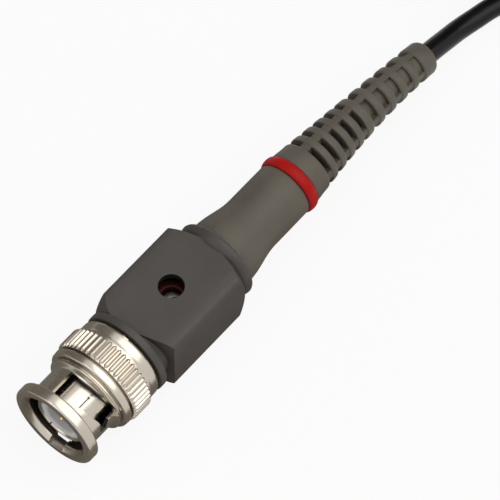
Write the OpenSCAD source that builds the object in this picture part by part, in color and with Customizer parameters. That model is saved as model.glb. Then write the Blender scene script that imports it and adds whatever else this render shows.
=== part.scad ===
// Oscilloscope probe with a bayonet plug, a compensation box, a slotted cable
// boot, a lead folded into a tied hank, and a hand probe with a sprung hook.
// Millimetres. X runs along the plug axis, from its mouth to the lead, and Z is
// up. The origin is the front end of the plug's outer contact, on the axis.

/* [Bayonet plug] */
// Outer radius of the slotted outer contact
contact_r = 4.05; // [3.9:0.05:4.15]
// Length of the outer contact ahead of the gasket
contact_len = 6.6; // [5.5:0.1:8]
// Radius of the centre pin
pin_r = 0.675; // [0.6:0.025:0.75]
// Radius of the cup in the white insulator
cup_r = 2.45; // [2:0.05:2.8]
// Depth of that cup
cup_depth = 5; // [3.5:0.1:6]
// Number of slits in the outer contact
slit_count = 4; // [2:1:6]
// Width of a slit
slit_w = 0.32; // [0.2:0.02:0.6]
// Length of a slit
slit_len = 2.9; // [2:0.1:2.9]

/* [Coupling nut] */
// Bore of the coupling nut
nut_bore_r = 4.93; // [4.8:0.01:5]
// How far the nut's mouth stands ahead of the outer contact
nut_overhang = 1.1; // [0.5:0.1:2]
// Outer radius of the nut's front ring
nut_ring_r = 6.8; // [6.3:0.05:7.1]
// Radius of the neck that the cams are milled through
nut_neck_r = 5.5; // [5.4:0.05:5.8]
// Radius over the knurl's crests
knurl_r = 7.25; // [7.1:0.05:8]
// Length of the knurled band
knurl_len = 3.6; // [2.5:0.1:4]
// Number of knurl teeth
knurl_teeth = 50; // [36:2:60]
// Depth of the knurl
knurl_depth = 0.34; // [0.15:0.01:0.45]
// Width of the cam slot and of its entry groove
cam_w = 2.45; // [2.2:0.05:2.8]
// Angle that the cam turns through from entry to rest
cam_turn = 78; // [60:1:85]
// How far the cam climbs toward the box over that turn
cam_rise = 1.1; // [0.6:0.05:1.4]
// Forward travel of the nut against its wave washer
nut_travel = 0.8; // [0.3:0.1:1]

/* [Compensation box] */
// Width of the box across Y
box_w = 13.1; // [12.6:0.1:16]
// Height of the box across Z
box_h = 11.2; // [10.8:0.1:12]
// Length of the box between its corners
box_len = 13.6; // [12:0.1:20]
// Wall over and under the board
box_wall = 1.2; // [0.8:0.1:1.6]
// Radius of the round collar beside the nut
front_collar_r = 6.95; // [6.6:0.05:7.15]
// Radius of the round collar at the lead end
collar_r = 6.6; // [6.2:0.05:7]
// Radius of the spherical shoulder at the lead end
shoulder_r = 13; // [11:0.5:18]
// Radius of the trimmer's access hole
access_r = 1.9; // [1.4:0.05:2.3]
// Trimmer's distance behind the box's front corners
trimmer_set = 7; // [6:0.1:8]
// Radius of the trimmer's screw
rotor_r = 1.5; // [1:0.05:1.7]

/* [Boot] */
// Radius of the boot's bell at the box
bell_r = 5.45; // [5:0.05:5.8]
// Radius of the boot at the marker ring
boot_r = 4.5; // [4.2:0.05:4.8]
// Radius of the boot's tail end
tail_r = 2.65; // [2.4:0.05:3]
// Length of the bell up to the marker ring
bell_len = 13.85; // [12:0.1:20]
// Width of the marker ring
marker_w = 1.8; // [1:0.1:3]
// Slotted ladder: windows in the fine group
fine_slots = 5; // [3:1:6]
// Pitch of the fine windows
fine_pitch = 2.15; // [1.8:0.05:2.5]
// Width of a fine window
fine_w = 0.95; // [0.5:0.05:1.2]
// Slotted ladder: windows in the coarse group
coarse_slots = 5; // [3:1:6]
// Pitch of the coarse windows
coarse_pitch = 2.68; // [2.3:0.02:3]
// Width of a coarse window
coarse_w = 1.4; // [0.8:0.05:1.7]
// Width of the four ribs that join the ladder's rungs
rib_w = 1.3; // [0.8:0.05:2]
// How far the tail sags at its end
tail_sag = 3; // [0:0.1:4]

/* [Lead] */
// Diameter of the lead
lead_d = 3.2; // [3:0.1:3.4]
// Straight length of the hank's runs
hank_run = 58; // [48:1:60]
// Distance of the runs from the hank's middle
hank_r = 9.6; // [9.2:0.1:10]
// Step from one turn to the next one up
turn_step = 3.65; // [3.65:0.05:4]
// How far the tie draws the runs in
waist_draw = 6.2; // [5:0.1:6.4]
// Width of the tie
tie_w = 9; // [5:0.5:14]
// Thickness of the tie
tie_t = 0.6; // [0.4:0.1:1]

/* [Hand probe] */
// Length of the hand probe's two shells
grip_len = 56; // [50:1:70]
// Greatest radius of the shells
grip_r = 6.2; // [5.9:0.1:6.6]
// Radius of the finger guard
guard_r = 7; // [6.8:0.1:7.2]
// Length of the range switch's knob
knob_len = 4.8; // [4:0.1:6]
// Travel of the range switch
switch_travel = 2.6; // [1.5:0.1:3]
// Radius of the ground barrel
barrel_r = 2.4; // [2.2:0.05:2.5]
// Radius of the hook clip's sleeve
sleeve_r = 5; // [4.8:0.1:5.6]
// Travel of the hook clip's sleeve
hook_travel = 6; // [3:0.5:6]
// Turns of the hook clip's spring
spring_turns = 9; // [6:1:10]

/* [Hidden] */
$fn = 64;
fit = 0.05;          // radial clearance between turned pieces of one assembly
run_gap = 0.15;      // clearance round what turns or slides
slip = 0.3;          // clearance round soft or loose pieces
cut = 0.2;           // how far a cutter passes beyond what it cuts

// Plug: stations along X and radii, from the mouth to the box
contact_wall = 0.5;
contact_step = 0.25;                                    // thicker part inside the body
seat_r = contact_r + contact_step;
gasket_t = 0.9;
body_front_x = contact_len + 0.1 + gasket_t;
insulator_r = contact_r - contact_wall - fit;
insulator_face = 0.15;                                  // white face behind the contact's end
pin_tip_x = 0.8;
pin_step_r = pin_r + 0.25;
core_len = 4.4;                                         // contact and insulator inside the body
core_end_x = body_front_x + core_len;
flange_x = body_front_x + 1.05;
flange_t = 1;
flange_r = nut_bore_r + 0.67;
hub_r = seat_r + 0.3;
wave_t = 0.25;
wave_space = nut_travel + 0.95;                         // wave washer's height at rest
washer_x = flange_x + flange_t + wave_space;
washer_t = 0.4;
snap_x = washer_x + washer_t + fit;
snap_t = 0.45;
nut_rear_x = snap_x + snap_t + 1.1;
nut_front_x = -nut_overhang;
cavity_r = flange_r + run_gap;                          // nut's bore behind its shoulder
snap_groove_r = cavity_r + 0.4;
collar_x = nut_rear_x + 0.2;                            // front face of the box's collar
collar_bore_r = 5.25;
body_rear_x = collar_x + 2.9;
pin_tail_x = body_rear_x + 3;

// Nut: outline stations, measured from the contact's front end
ring_end_x = 1.3;
neck_x = 2.5;
neck_end_x = 4.8;
mid_collar_x = 6.2;
knurl_x = 7.6;
knurl_end_x = knurl_x + knurl_len;
root_r = knurl_r - knurl_depth;
groove_d = 0.25;
cam_x = neck_x + cam_w / 2 - 0.3;                       // cam's centre where the lug enters
cam_angle = -2;                                         // entry, turned from +Z toward -Y
cam_detent = 0.4;
cam_passes = 12;
groove_r = 5.7;                                         // entry groove clears lugs 11 mm over

// Box: stations
box_x = collar_x + 3.05;                                // front corners
box_end_x = box_x + box_len;                            // rear corners
nose_x = collar_x + 1.15;                               // front collar's rear edge
neck_r = collar_bore_r + 0.75;                          // between that collar and the facet
facet_y = 0.4;                                          // facet starts this far off the middle
cone_r = 6.35;                                          // front shoulder's radius at the collar
cone_slope = 1.05;
edge_r = 0.5;
box_corner = norm([box_w, box_h]) / 2;
shoulder_x = box_end_x - sqrt(pow(shoulder_r, 2) - pow(box_corner, 2));
rear_collar_x = shoulder_x + sqrt(pow(shoulder_r, 2) - pow(collar_r, 2));
rear_x = box_end_x + 4.05;                              // rear face of the rear collar
rear_lip = 0.45;
bay_r = 5.45;
bay_h = box_h / 2 - box_wall;
bay_x = body_rear_x + 0.8;
trimmer_x = box_x + trimmer_set;
plate_t = 0.8;                                          // chassis plates and board
tail_wire_r = 0.35;
board_top = -tail_wire_r;
board_x = bay_x + 0.2;
rear_plate_x = box_end_x - 0.1;
board_w = 9.2;
rail_w = 1;
rail_h = 1.25;
trimmer_r = rotor_r + 1.1;
trimmer_top = bay_h - 1.2;
ferrule_x = rear_plate_x + plate_t;
ferrule_len = 7;
ferrule_r = lead_d / 2 + 0.6;

// Boot: stations
boot_x = ferrule_x + 0.1;
marker_x = rear_x + bell_len;
marker_seat_r = boot_r - 0.45;
marker_r = boot_r + 0.32;
ladder_x = marker_x + marker_w;                         // the boot tapers from here
bend_x = ladder_x + 2;                                  // and sags from here
first_slot_x = ladder_x + 3.55;
slots = fine_slots + coarse_slots;
tail_x = slot_x(slots - 1) + 3.4;                       // tail end, before sag
core_r = lead_d / 2 + 0.5;
link_lap = 0.12;                                        // links of the ladder overlap
link_valley = 0.1;                                      // and dip where they meet
ladder_turn = 32;
taper = 1.9;

// Bench, lead and hank
bench_z = -knurl_r;
lead_z = bench_z + lead_d / 2;
hank_x = 108;
hank_y = 3.2;
loops = 6;
run_share = 0.28;                                       // share of a loop that a run takes
tie_lift = tie_t + slip;                                // runs pass over the tie's lower side
tie_gap = 0.8;                                          // room for the runs' slant in the tie
hank_mid = hank_x + hank_run / 2;
rings_per_run = 6;
rings_per_bend = 6;
tube_sides = 8;
hank_sides = 6;

// Hand probe: origin at its boot's tail end, in line with the plug
head_x = 208;
head_z = bench_z + guard_r;
head_boot_len = 22;
head_slots = 6;
head_pitch = 2.4;
head_slot_w = 1.2;
head_root_r = 4.3;
head_spigot_r = 3.6;
head_spigot_len = 5;
head_lead_len = 8;                                      // jacket inside the shells
resistor_set = 20;                                      // divider resistor's reach behind the barrel
head_marker_w = 1.8;
shell_x = head_boot_len + head_marker_w + 0.6;
shell_end_x = shell_x + grip_len;
shell_neck_r = 4.9;
hollow_r = 4.2;
hollow_x = shell_x + 4;
hollow_end_x = shell_end_x - 4;
grip_grooves = 7;
groove_pitch = 2.6;
bulge_end_x = shell_x + 26;                             // the shells' widest part ends
waist_x = shell_x + 32;
window_x = shell_x + 16;
window_len = knob_len + switch_travel + 2 * slip;
knob_w = 3.8;
knob_top = grip_r + 0.7;
head_board_z = 1.5;
head_board_w = 6.4;
slide_t = 0.7;
guard_x = shell_end_x;
guard_len = 5;
nose_end_x = guard_x + 16;
barrel_x = hollow_end_x - 2;
barrel_end_x = nose_end_x + 10;
tip_rear_x = barrel_x;
tip_r = 0.5;
tip_end_x = barrel_end_x + 6;
housing_x = nose_end_x + 1;
housing_r = 3.3;
housing_len = 19;
spring_wire_r = 0.25;
spring_x = housing_x + 1.9;
sleeve_x = housing_x + 1;
spring_len = 18;
sleeve_step_x = spring_x + spring_len;
sleeve_end_x = sleeve_step_x + 14.5;
flange_out_r = 6.4;
sleeve_bore_r = 4.2;
clip_grooves = 6;
clip_pitch = 1.9;
clip_nose_r = 2.7;
hook_r = 1.3;
wire_r = 0.45;

// ---------- shapes used by several pieces ----------

// Solid of revolution about X: points are [radius, x].
module turned(points) rotate([0, 90, 0]) rotate_extrude() polygon(points);

// Round bar along X.
module bar(x0, x1, r) translate([x0, 0, 0]) rotate([0, 90, 0]) cylinder(h = x1 - x0, r = r);

// Tube along X.
module sleeve(x0, x1, r_out, r_in) difference() {
    bar(x0, x1, r_out);
    bar(x0 - cut, x1 + cut, r_in);
}

// Box from one corner to the other.
module block(low, high) translate(low) cube(high - low);

// Everything within a given height above and below the axis.
module slab(x0, x1, half_h) block([x0, -20, -half_h], [x1, 20, half_h]);

module rounded_rect(w, h, r) {
    square([w - 2 * r, h], center = true);
    square([w, h - 2 * r], center = true);
    for (sy = [-1, 1], sz = [-1, 1])
        translate([sy * (w / 2 - r), sz * (h / 2 - r)]) circle(r = r);
}

// Points of an arc in a turned outline, centre [r, x].
function arc(centre, radius, a0, a1, steps = 5) =
    [for (i = [0:steps]) let (a = a0 + (a1 - a0) * i / steps)
        centre + radius * [sin(a), -cos(a)]];

// Tube swept through points, with its rings square to the path and no twist
// about X: ends are square to the first and last directions.
function unit(v) = v / norm(v);
function direction(p, i) =
    unit(p[min(i + 1, len(p) - 1)] - p[max(i - 1, 0)]);
function ring_points(p, t, r, sides) =
    let (side = unit(cross([0, 0, 1], t)), up = cross(t, side))
    [for (k = [0:sides - 1]) p + r * (cos(360 * k / sides) * side
        + sin(360 * k / sides) * up)];

module swept_tube(path, r, sides, first = undef, last = undef) {
    n = len(path);
    points = [for (i = [0:n - 1])
        let (t = i == 0 && first != undef ? unit(first)
            : i == n - 1 && last != undef ? unit(last) : direction(path, i))
        each ring_points(path[i], t, r, sides)];
    walls = [for (i = [0:n - 2], k = [0:sides - 1])
        let (a = i * sides + k, b = i * sides + (k + 1) % sides)
        each [[a, b, b + sides], [a, b + sides, a + sides]]];
    start = [for (k = [1:sides - 2]) [0, k + 1, k]];
    base = (n - 1) * sides;
    end = [for (k = [1:sides - 2]) [base, base + k, base + k + 1]];
    polyhedron(points = points, faces = [each walls, each start, each end], convexity = 6);
}

// Smooth path through hand-set points (Catmull-Rom), given steps per span.
function spline_at(a, b, c, d, t) =
    0.5 * (2 * b + (c - a) * t + (2 * a - 5 * b + 4 * c - d) * t * t
        + (3 * b - a - 3 * c + d) * t * t * t);
function smooth_path(p, steps) =
    let (n = len(p))
    [for (i = [0:n - 2], s = [0:steps - 1])
        spline_at(i == 0 ? 2 * p[0] - p[1] : p[i - 1], p[i], p[i + 1],
            i == n - 2 ? 2 * p[n - 1] - p[n - 2] : p[i + 2], s / steps),
     p[n - 1]];
function path_length(p) =
    len(p) < 2 ? 0 : sum([for (i = [0:len(p) - 2]) norm(p[i + 1] - p[i])]);
function sum(v) = v * [for (x = v) 1];

// ---------- coupling nut ----------

function nut_outline() = concat(
    [[nut_bore_r, nut_front_x + 0.6], [nut_bore_r + 0.55, nut_front_x]],
    arc([nut_ring_r - 0.5, nut_front_x + 0.5], 0.5, 0, 90),
    [[nut_ring_r - 0.1, ring_end_x], [(nut_ring_r + nut_neck_r) / 2, ring_end_x + 0.6],
     [nut_neck_r, neck_x], [nut_neck_r, neck_end_x],
     [nut_ring_r - 0.3, neck_end_x + 0.75],
     [nut_ring_r - 0.2 - groove_d, mid_collar_x - 0.3], [nut_ring_r + 0.1, mid_collar_x],
     [root_r + 0.08, knurl_x - 0.55], [root_r - groove_d, knurl_x - 0.25],
     [root_r, knurl_x - 0.05], [root_r, knurl_end_x + 0.1],
     [root_r - 0.1, knurl_end_x + 0.5], [root_r - 0.15, nut_rear_x - 0.5],
     [root_r - 0.3, nut_rear_x],
     [cavity_r, nut_rear_x], [cavity_r, snap_x + snap_t + fit],
     [snap_groove_r, snap_x + snap_t + fit], [snap_groove_r, snap_x - fit],
     [cavity_r, snap_x - fit], [cavity_r, flange_x - fit],
     [nut_bore_r, flange_x - fit]]);

// Straight knurl: teeth stand on the root circle and run out at both ends.
module knurl() intersection() {
    translate([knurl_x, 0, 0]) rotate([0, 90, 0])
        linear_extrude(height = knurl_len) polygon([
            for (i = [0:knurl_teeth - 1], c = [[-0.5, root_r - 0.1], [-0.18, knurl_r],
                                               [0.18, knurl_r], [0.5, root_r - 0.1]])
                if (c[0] < 0.5) let (a = 360 * (i + c[0]) / knurl_teeth)
                    c[1] * [cos(a), sin(a)]]);
    turned([[0, knurl_x], [root_r - 0.05, knurl_x], [knurl_r, knurl_x + 0.5],
            [knurl_r, knurl_end_x - 0.3], [root_r, knurl_end_x], [0, knurl_end_x]]);
}

// Cutter for one bayonet cam: entry groove, helical passes and the rest notch.
module cam_cutter() {
    rotate([cam_angle, 0, 0])
        block([nut_front_x - cut, -cam_w / 2, nut_bore_r - 0.6],
              [cam_x, cam_w / 2, groove_r]);
    for (i = [0:cam_passes])
        rotate([cam_angle + cam_turn * i / cam_passes, 0, 0])
            translate([cam_x + cam_rise * i / cam_passes, 0, nut_bore_r - 0.6])
                cylinder(h = 4, r = cam_w / 2);
    rotate([cam_angle + cam_turn + 2, 0, 0])
        translate([cam_x + cam_rise - cam_detent, 0, nut_bore_r - 0.6])
            cylinder(h = 4, r = cam_w / 2);
}

module coupling_nut() color("#b9b4aa") difference() {
    union() {
        turned(nut_outline());
        difference() {
            knurl();
            bar(knurl_x - cut, knurl_end_x + cut, root_r - 0.4);
        }
    }
    for (a = [0, 180]) rotate([a, 0, 0]) cam_cutter();
    for (a = [8:90:278]) rotate([a, 0, 0])
        block([nut_rear_x - 0.6, -0.5, cavity_r + 0.3], [nut_rear_x + cut, 0.5, knurl_r]);
}

// ---------- pieces that hold the nut ----------

module retaining_ring() color("#8f9094") difference() {
    sleeve(snap_x, snap_x + snap_t, snap_groove_r - fit, hub_r + 0.45);
    block([snap_x - cut, -1, -10], [snap_x + snap_t + cut, 1, 0]);
}

module thrust_washer() color("#a3a4a8")
    sleeve(washer_x, washer_x + washer_t, cavity_r - 0.1, hub_r + run_gap);

// Three waves round the ring, resting on the flange and under the washer.
module wave_washer() color("#9a9ba0") {
    steps = 36;
    r_in = hub_r + 0.2;
    r_out = cavity_r - 0.2;
    swing = (wave_space - wave_t) / 2;
    mid_x = flange_x + flange_t + wave_space / 2;
    section = [[r_in, -1], [r_out, -1], [r_out, 1], [r_in, 1]];
    polyhedron(
        points = [for (i = [0:steps - 1], s = section)
            let (a = 360 * i / steps)
            [mid_x + (swing - 0.01) * cos(3 * a) + s[1] * wave_t / 2,
             -s[0] * sin(a), s[0] * cos(a)]],
        faces = [for (i = [0:steps - 1], k = [0:3])
            let (a = 4 * i + k, b = 4 * i + (k + 1) % 4, j = 4 * ((i + 1) % steps))
            each [[a, b, j + (k + 1) % 4], [a, j + (k + 1) % 4, j + k]]],
        convexity = 4);
}

// ---------- contacts and body ----------

module outer_contact() color("#d6d2c8") difference() {
    turned([[contact_r - contact_wall, 0.25], [contact_r - 0.25, 0], [contact_r, 0],
            [contact_r, contact_len], [seat_r, contact_len],
            [seat_r, core_end_x], [contact_r - contact_wall, core_end_x]]);
    for (i = [0:slit_count - 1]) rotate([28 + 360 * i / slit_count, 0, 0]) {
        block([-cut, -slit_w / 2, contact_r - contact_wall - cut],
              [slit_len, slit_w / 2, contact_r + cut]);
        translate([slit_len, 0, contact_r - contact_wall - cut])
            cylinder(h = contact_wall + 2 * cut, r = slit_w * 0.8);
    }
}

module contact_insulator() color("#f4f2ec") turned([
    [cup_r, insulator_face], [insulator_r - 0.15, insulator_face],
    [insulator_r, insulator_face + 0.15], [insulator_r, core_end_x],
    [pin_step_r + fit, core_end_x], [pin_step_r + fit, insulator_face + cup_depth],
    [cup_r, insulator_face + cup_depth]]);

module centre_pin() color("#d8ad4f") turned(concat(
    [[0, pin_tip_x]],
    arc([pin_r - 0.45, pin_tip_x + 0.45], 0.45, 0, 90),
    [[pin_r, insulator_face + cup_depth - 0.05],
     [pin_step_r, insulator_face + cup_depth - 0.05],
     [pin_step_r, body_rear_x - 0.2], [tail_wire_r, body_rear_x],
     [tail_wire_r, pin_tail_x], [0, pin_tail_x]]));

module plug_body() color("#aeaaa1") turned([
    [seat_r + fit, body_front_x], [nut_bore_r - run_gap, body_front_x],
    [nut_bore_r - run_gap, flange_x], [flange_r, flange_x],
    [flange_r, flange_x + flange_t], [hub_r, flange_x + flange_t],
    [hub_r, collar_x], [collar_bore_r - fit, collar_x],
    [collar_bore_r - fit, body_rear_x], [pin_step_r + 0.5, body_rear_x],
    [pin_step_r + 0.5, core_end_x], [seat_r + fit, core_end_x]]);

module seal_gasket() color("#3a3632")
    sleeve(body_front_x - gasket_t, body_front_x, nut_bore_r - 0.08, seat_r + 0.1);

// ---------- compensation box ----------

// Space inside the box: a round bore with flats over and under the board.
module bay(x0, x1, gap = 0) intersection() {
    bar(x0, x1, bay_r - gap);
    slab(x0, x1, bay_h - gap);
}

// Everything ahead of the spherical shoulder.
module shoulder_cap() {
    a0 = asin(collar_r / shoulder_r) - 6;
    a1 = asin(box_corner / shoulder_r) + 6;
    turned([[0, collar_x], [box_w, collar_x],
        [box_w, shoulder_x + shoulder_r * cos(a1)],
        for (i = [0:8]) let (a = a1 + (a0 - a1) * i / 8)
            [shoulder_r * sin(a), shoulder_x + shoulder_r * cos(a)],
        [0, shoulder_x + shoulder_r * cos(a0)]]);
}

// Behind the front collar: an upright facet toward -Y, a turned shoulder toward +Y.
module front_cap() {
    translate([0, 0, -box_h]) linear_extrude(height = 2 * box_h) polygon([
        [box_x, -box_w / 2 - cut], [box_x, -box_w / 2], [nose_x, -facet_y],
        [nose_x, cut], [rear_x, cut], [rear_x, -box_w / 2 - cut]]);
    intersection() {
        turned([[0, nose_x], [cone_r, nose_x],
                [box_w, nose_x + (box_w - cone_r) / cone_slope], [box_w, rear_x],
                [0, rear_x]]);
        block([nose_x - cut, 0, -box_h], [rear_x + cut, box_w, box_h]);
    }
}

module box_block() intersection() {
    translate([collar_x, 0, 0]) rotate([90, 0, 90])
        linear_extrude(height = rear_x - collar_x) rounded_rect(box_w, box_h, edge_r);
    front_cap();
    shoulder_cap();
}

module comp_box_shell() color("#56524d") difference() {
    union() {
        box_block();
        turned([[0, collar_x], [front_collar_r - 0.2, collar_x],
                [front_collar_r, collar_x + 0.2], [front_collar_r, nose_x - 0.15],
                [front_collar_r - 0.15, nose_x], [neck_r, nose_x],
                [neck_r, box_x + 0.3], [0, box_x + 0.3]]);
        turned([[0, rear_collar_x], [collar_r, rear_collar_x], [collar_r, rear_x - 0.6],
                [collar_r - 0.12, rear_x - 0.25], [collar_r - rear_lip, rear_x],
                [0, rear_x]]);
    }
    bar(collar_x - cut, bay_x + cut, collar_bore_r);
    bay(bay_x, rear_x + cut);
    translate([trimmer_x, 0, 0]) cylinder(h = box_h, r = access_r);
}

module chassis_frame() color("#c3b27a") {
    difference() {
        intersection() {
            bar(body_rear_x, bay_x, collar_bore_r - fit);
            slab(body_rear_x, bay_x, bay_h - 0.1);
        }
        bar(body_rear_x - cut, bay_x + cut, tail_wire_r + 1);
    }
    for (s = [-1, 1]) translate([0, s * (board_w / 2 - rail_w / 2), 0])
        block([bay_x, -rail_w / 2, board_top - plate_t - rail_h],
              [rear_plate_x, rail_w / 2, board_top - plate_t]);
    difference() {
        bay(rear_plate_x, rear_plate_x + plate_t, 0.1);
        bar(rear_plate_x - cut, rear_plate_x + plate_t + cut, 0.95);
    }
}

module circuit_board() color("#3f6b45")
    block([board_x, -board_w / 2, board_top - plate_t],
          [rear_plate_x - 0.2, board_w / 2, board_top]);

module trimmer_body() color("#9c2b22") translate([trimmer_x, 0, 0]) difference() {
    translate([0, 0, board_top]) cylinder(h = trimmer_top - board_top, r = trimmer_r);
    translate([0, 0, board_top + 0.8]) cylinder(h = bay_h, r = rotor_r + fit);
}

module trimmer_screw() color("#c9c6bd") translate([trimmer_x, 0, 0]) difference() {
    translate([0, 0, board_top + 0.8 + fit])
        cylinder(h = trimmer_top - board_top - 0.9 - fit, r = rotor_r);
    rotate(35) block([-2 * rotor_r, -0.22, trimmer_top - 0.65], [2 * rotor_r, 0.22, bay_h]);
}

module chip(x, y, size) translate([x, y, board_top]) {
    block([-size[0] / 2, -size[1] / 2, 0], [size[0] / 2, size[1] / 2, size[2]]);
    for (s = [-1, 1]) translate([s * size[0] * 0.42, 0, 0])
        block([-size[0] * 0.09, -size[1] / 2 - 0.03, 0],
              [size[0] * 0.09, size[1] / 2 + 0.03, size[2] + 0.03]);
}

module chip_resistor() color("#26262a") chip(trimmer_x - 4.2, 2.9, [2, 1.25, 0.5]);
module chip_capacitor() color("#b08b5a") chip(trimmer_x + 4.4, -2.9, [2, 1.25, 0.9]);

module crimp_ferrule() color("#bfb9a8")
    sleeve(ferrule_x, ferrule_x + ferrule_len, ferrule_r, lead_d / 2 + fit);

// Stripped end of the lead: wire on the board, dielectric in the rear plate,
// jacket in the ferrule and the boot.
module lead_inner_end() color("#1c1c1e") turned([
    [0, rear_plate_x - 2.6], [tail_wire_r, rear_plate_x - 2.6],
    [tail_wire_r, rear_plate_x - 0.1], [0.9, rear_plate_x - 0.1],
    [0.9, ferrule_x], [lead_d / 2, ferrule_x],
    [lead_d / 2, ladder_x], [0, ladder_x]]);

// ---------- slotted boot ----------

function slot_x(k) = first_slot_x + (k < fine_slots ? k * fine_pitch
    : (fine_slots - 1) * fine_pitch + (k - fine_slots + 1) * coarse_pitch);
function ladder_r(x) = tail_r + (boot_r - tail_r)
    * pow(max(0, 1 - (x - ladder_x) / (tail_x - ladder_x)), taper);
function sag(x) = x <= bend_x ? 0
    : -tail_sag * pow((x - bend_x) / (tail_x - bend_x), 2.5);
function sag_slope(x) = x <= bend_x ? 0
    : -2.5 * tail_sag / (tail_x - bend_x) * pow((x - bend_x) / (tail_x - bend_x), 1.5);
function bell_outline_r(x) =
    let (t = min(1, (x - rear_x) / (bell_len * 0.48)))
    boot_r + (bell_r - boot_r) * (1 + cos(180 * t)) / 2;

// Puts something drawn round the origin on the boot's sagging centreline.
module on_boot(x) translate([x, 0, sag(x)]) rotate([0, -atan(sag_slope(x)), 0]) children();

// One ring of four windows, leaving the ribs and the core.
module window_cutter(w, core) difference() {
    bar(-w / 2, w / 2, 8);
    bar(-w, w, core);
    for (a = [0, 90]) rotate([ladder_turn + 45 + a, 0, 0])
        block([-w, -rib_w / 2, -9], [w, rib_w / 2, 9]);
}

module cable_boot() color("#6b645a") difference() {
    union() {
        bay(boot_x, rear_x, 0.05);
        turned(concat(
            [[0, rear_x]],
            [for (i = [0:8]) let (x = rear_x + bell_len * 0.06 * i)
                [bell_outline_r(x), x]],
            [[boot_r - 0.05, marker_x - 0.3], [boot_r - 0.15, marker_x],
             [marker_seat_r, marker_x], [marker_seat_r, ladder_x],
             [boot_r - 0.15, ladder_x], [ladder_r(ladder_x + 0.4), ladder_x + 0.4],
             [ladder_r(bend_x), bend_x], [0, bend_x]]));
        // The ladder is a chain of tapered links that meet inside the windows.
        joints = [bend_x, for (k = [0:slots - 1]) slot_x(k), tail_x];
        for (k = [0:len(joints) - 2])
            let (a = joints[k], b = joints[k + 1], mid = (a + b) / 2, half = (b - a) / 2,
                 last = k == len(joints) - 2, over = last ? 0 : link_lap)
            on_boot(mid) turned([[0, -half - link_lap],
                [ladder_r(a) - link_valley, -half - link_lap], [ladder_r(mid), 0],
                [last ? tail_r - 0.3 : ladder_r(b) - 1.8 * link_valley, half + over],
                [0, half + over]]);
    }
    for (k = [0:slots - 1]) on_boot(slot_x(k))
        window_cutter(k < fine_slots ? fine_w : coarse_w, core_r);
    bar(boot_x - cut, ferrule_x + ferrule_len + 0.2, ferrule_r + fit);
    bar(ferrule_x + ferrule_len, ladder_x, lead_d / 2 + fit);
}

module boot_marker_ring() color("#c62226") turned(concat(
    [[marker_seat_r + fit, marker_x + 0.02]],
    [for (i = [0:6]) let (a = 180 * i / 6)
        [marker_r - 0.42 + 0.42 * sin(a),
         marker_x + marker_w / 2 - (marker_w / 2 - 0.02) * cos(a)]],
    [[marker_seat_r + fit, ladder_x - 0.02]]));

// ---------- lead ----------

// Free stretch from the boot's tail down to the bench and to the hank.
box_route = [[81.5, 0, -3.75], [84.2, 0, -4.6], [87, -0.1, -5.3], [90, -0.6, -5.6],
    [93.2, -1.3, -5.65], [97, -2.7, -5.65], [101, -4.5, -5.65], [104.8, -5.9, -5.65]];
// Free stretch from the top of the hank down to the hand probe.
head_route = [[169.5, -6.3, 16.2], [173, -6.1, 15.9], [177, -5.7, 14.7], [181, -5.1, 12.5],
    [185.5, -4.2, 9.2], [190, -3.2, 5.9], [194.5, -2.2, 2.9], [199, -1.2, 0.9],
    [203.5, -0.4, -0.1]];

// The hank: u counts loops. Each loop is a run out, a bend, a run back and a
// bend. It climbs a turn along the run back, and is drawn in at the waist.
function waist(x) = pow(sin(180 * max(0, min(1, (x - hank_x) / hank_run))), 2);
function hank_point(u) =
    let (turn = floor(u + run_share / 2 + 1e-6),
         // share of the loop done: run out, bend, run back from 0.5, bend
         q = max(0, u + run_share / 2 - turn),
         out = q < run_share, back = q >= 0.5 && q < 0.5 + run_share,
         a1 = 180 * (q - run_share) / (0.5 - run_share),
         a2 = 180 * (q - 0.5 - run_share) / (0.5 - run_share),
         x = out ? hank_x + hank_run * q / run_share
           : back ? hank_x + hank_run * (1 - (q - 0.5) / run_share)
           : q < 0.5 ? hank_x + hank_run + hank_r * sin(a1)
           : hank_x - hank_r * sin(a2),
         drawn = hank_r - waist_draw * waist(x),
         y = out ? -drawn : back ? drawn
           : q < 0.5 ? -hank_r * cos(a1) : hank_r * cos(a2),
         climb = max(0, min(1, (q - 0.5) / run_share)),
         z = lead_z + turn_step * (turn + (1 - cos(180 * climb)) / 2)
           + (out || back ? tie_lift * waist(x) : 0))
    [x, hank_y + y, z];
hank_marks = [for (u = [0:loops], half = [0, 0.5], k = [0:rings_per_run + rings_per_bend - 1])
    u + half - run_share / 2 + (k < rings_per_run ? run_share * k / rings_per_run
        : run_share + (0.5 - run_share) * (k - rings_per_run) / rings_per_bend)];
hank_path = concat(
    [for (u = hank_marks) if (u < loops + run_share / 2 - 0.001) hank_point(u)],
    [hank_point(loops + run_share / 2 - 1e-5)]);

// Least gap between turns, measured between finely spaced centres.
fine_path = [for (i = [0:40 * loops]) hank_point(i / 40)];
least_gap = min([for (i = [0:len(fine_path) - 2], j = [i + 12:1:len(fine_path) - 1])
    norm(fine_path[i] - fine_path[j])]) - lead_d;

module lead_box_stretch() color("#121214") {
    path = concat([[tail_x, 0, sag(tail_x)]], box_route, [hank_path[0]]);
    swept_tube(smooth_path(path, 2), lead_d / 2, tube_sides,
        first = [1, 0, sag_slope(tail_x)], last = [1, 0, 0]);
}

module lead_hank() color("#121214") {
    echo(least_gap_to_itself = least_gap, lead_length = path_length(hank_path));
    swept_tube(hank_path, lead_d / 2, hank_sides, first = [1, 0, 0], last = [1, 0, 0]);
}

module lead_head_stretch() color("#121214") {
    path = concat([hank_path[len(hank_path) - 1]], head_route, [[head_x, 0, head_z]]);
    swept_tube(smooth_path(path, 2), lead_d / 2, tube_sides,
        first = [1, 0, 0], last = [1, 0, 0]);
}

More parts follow.
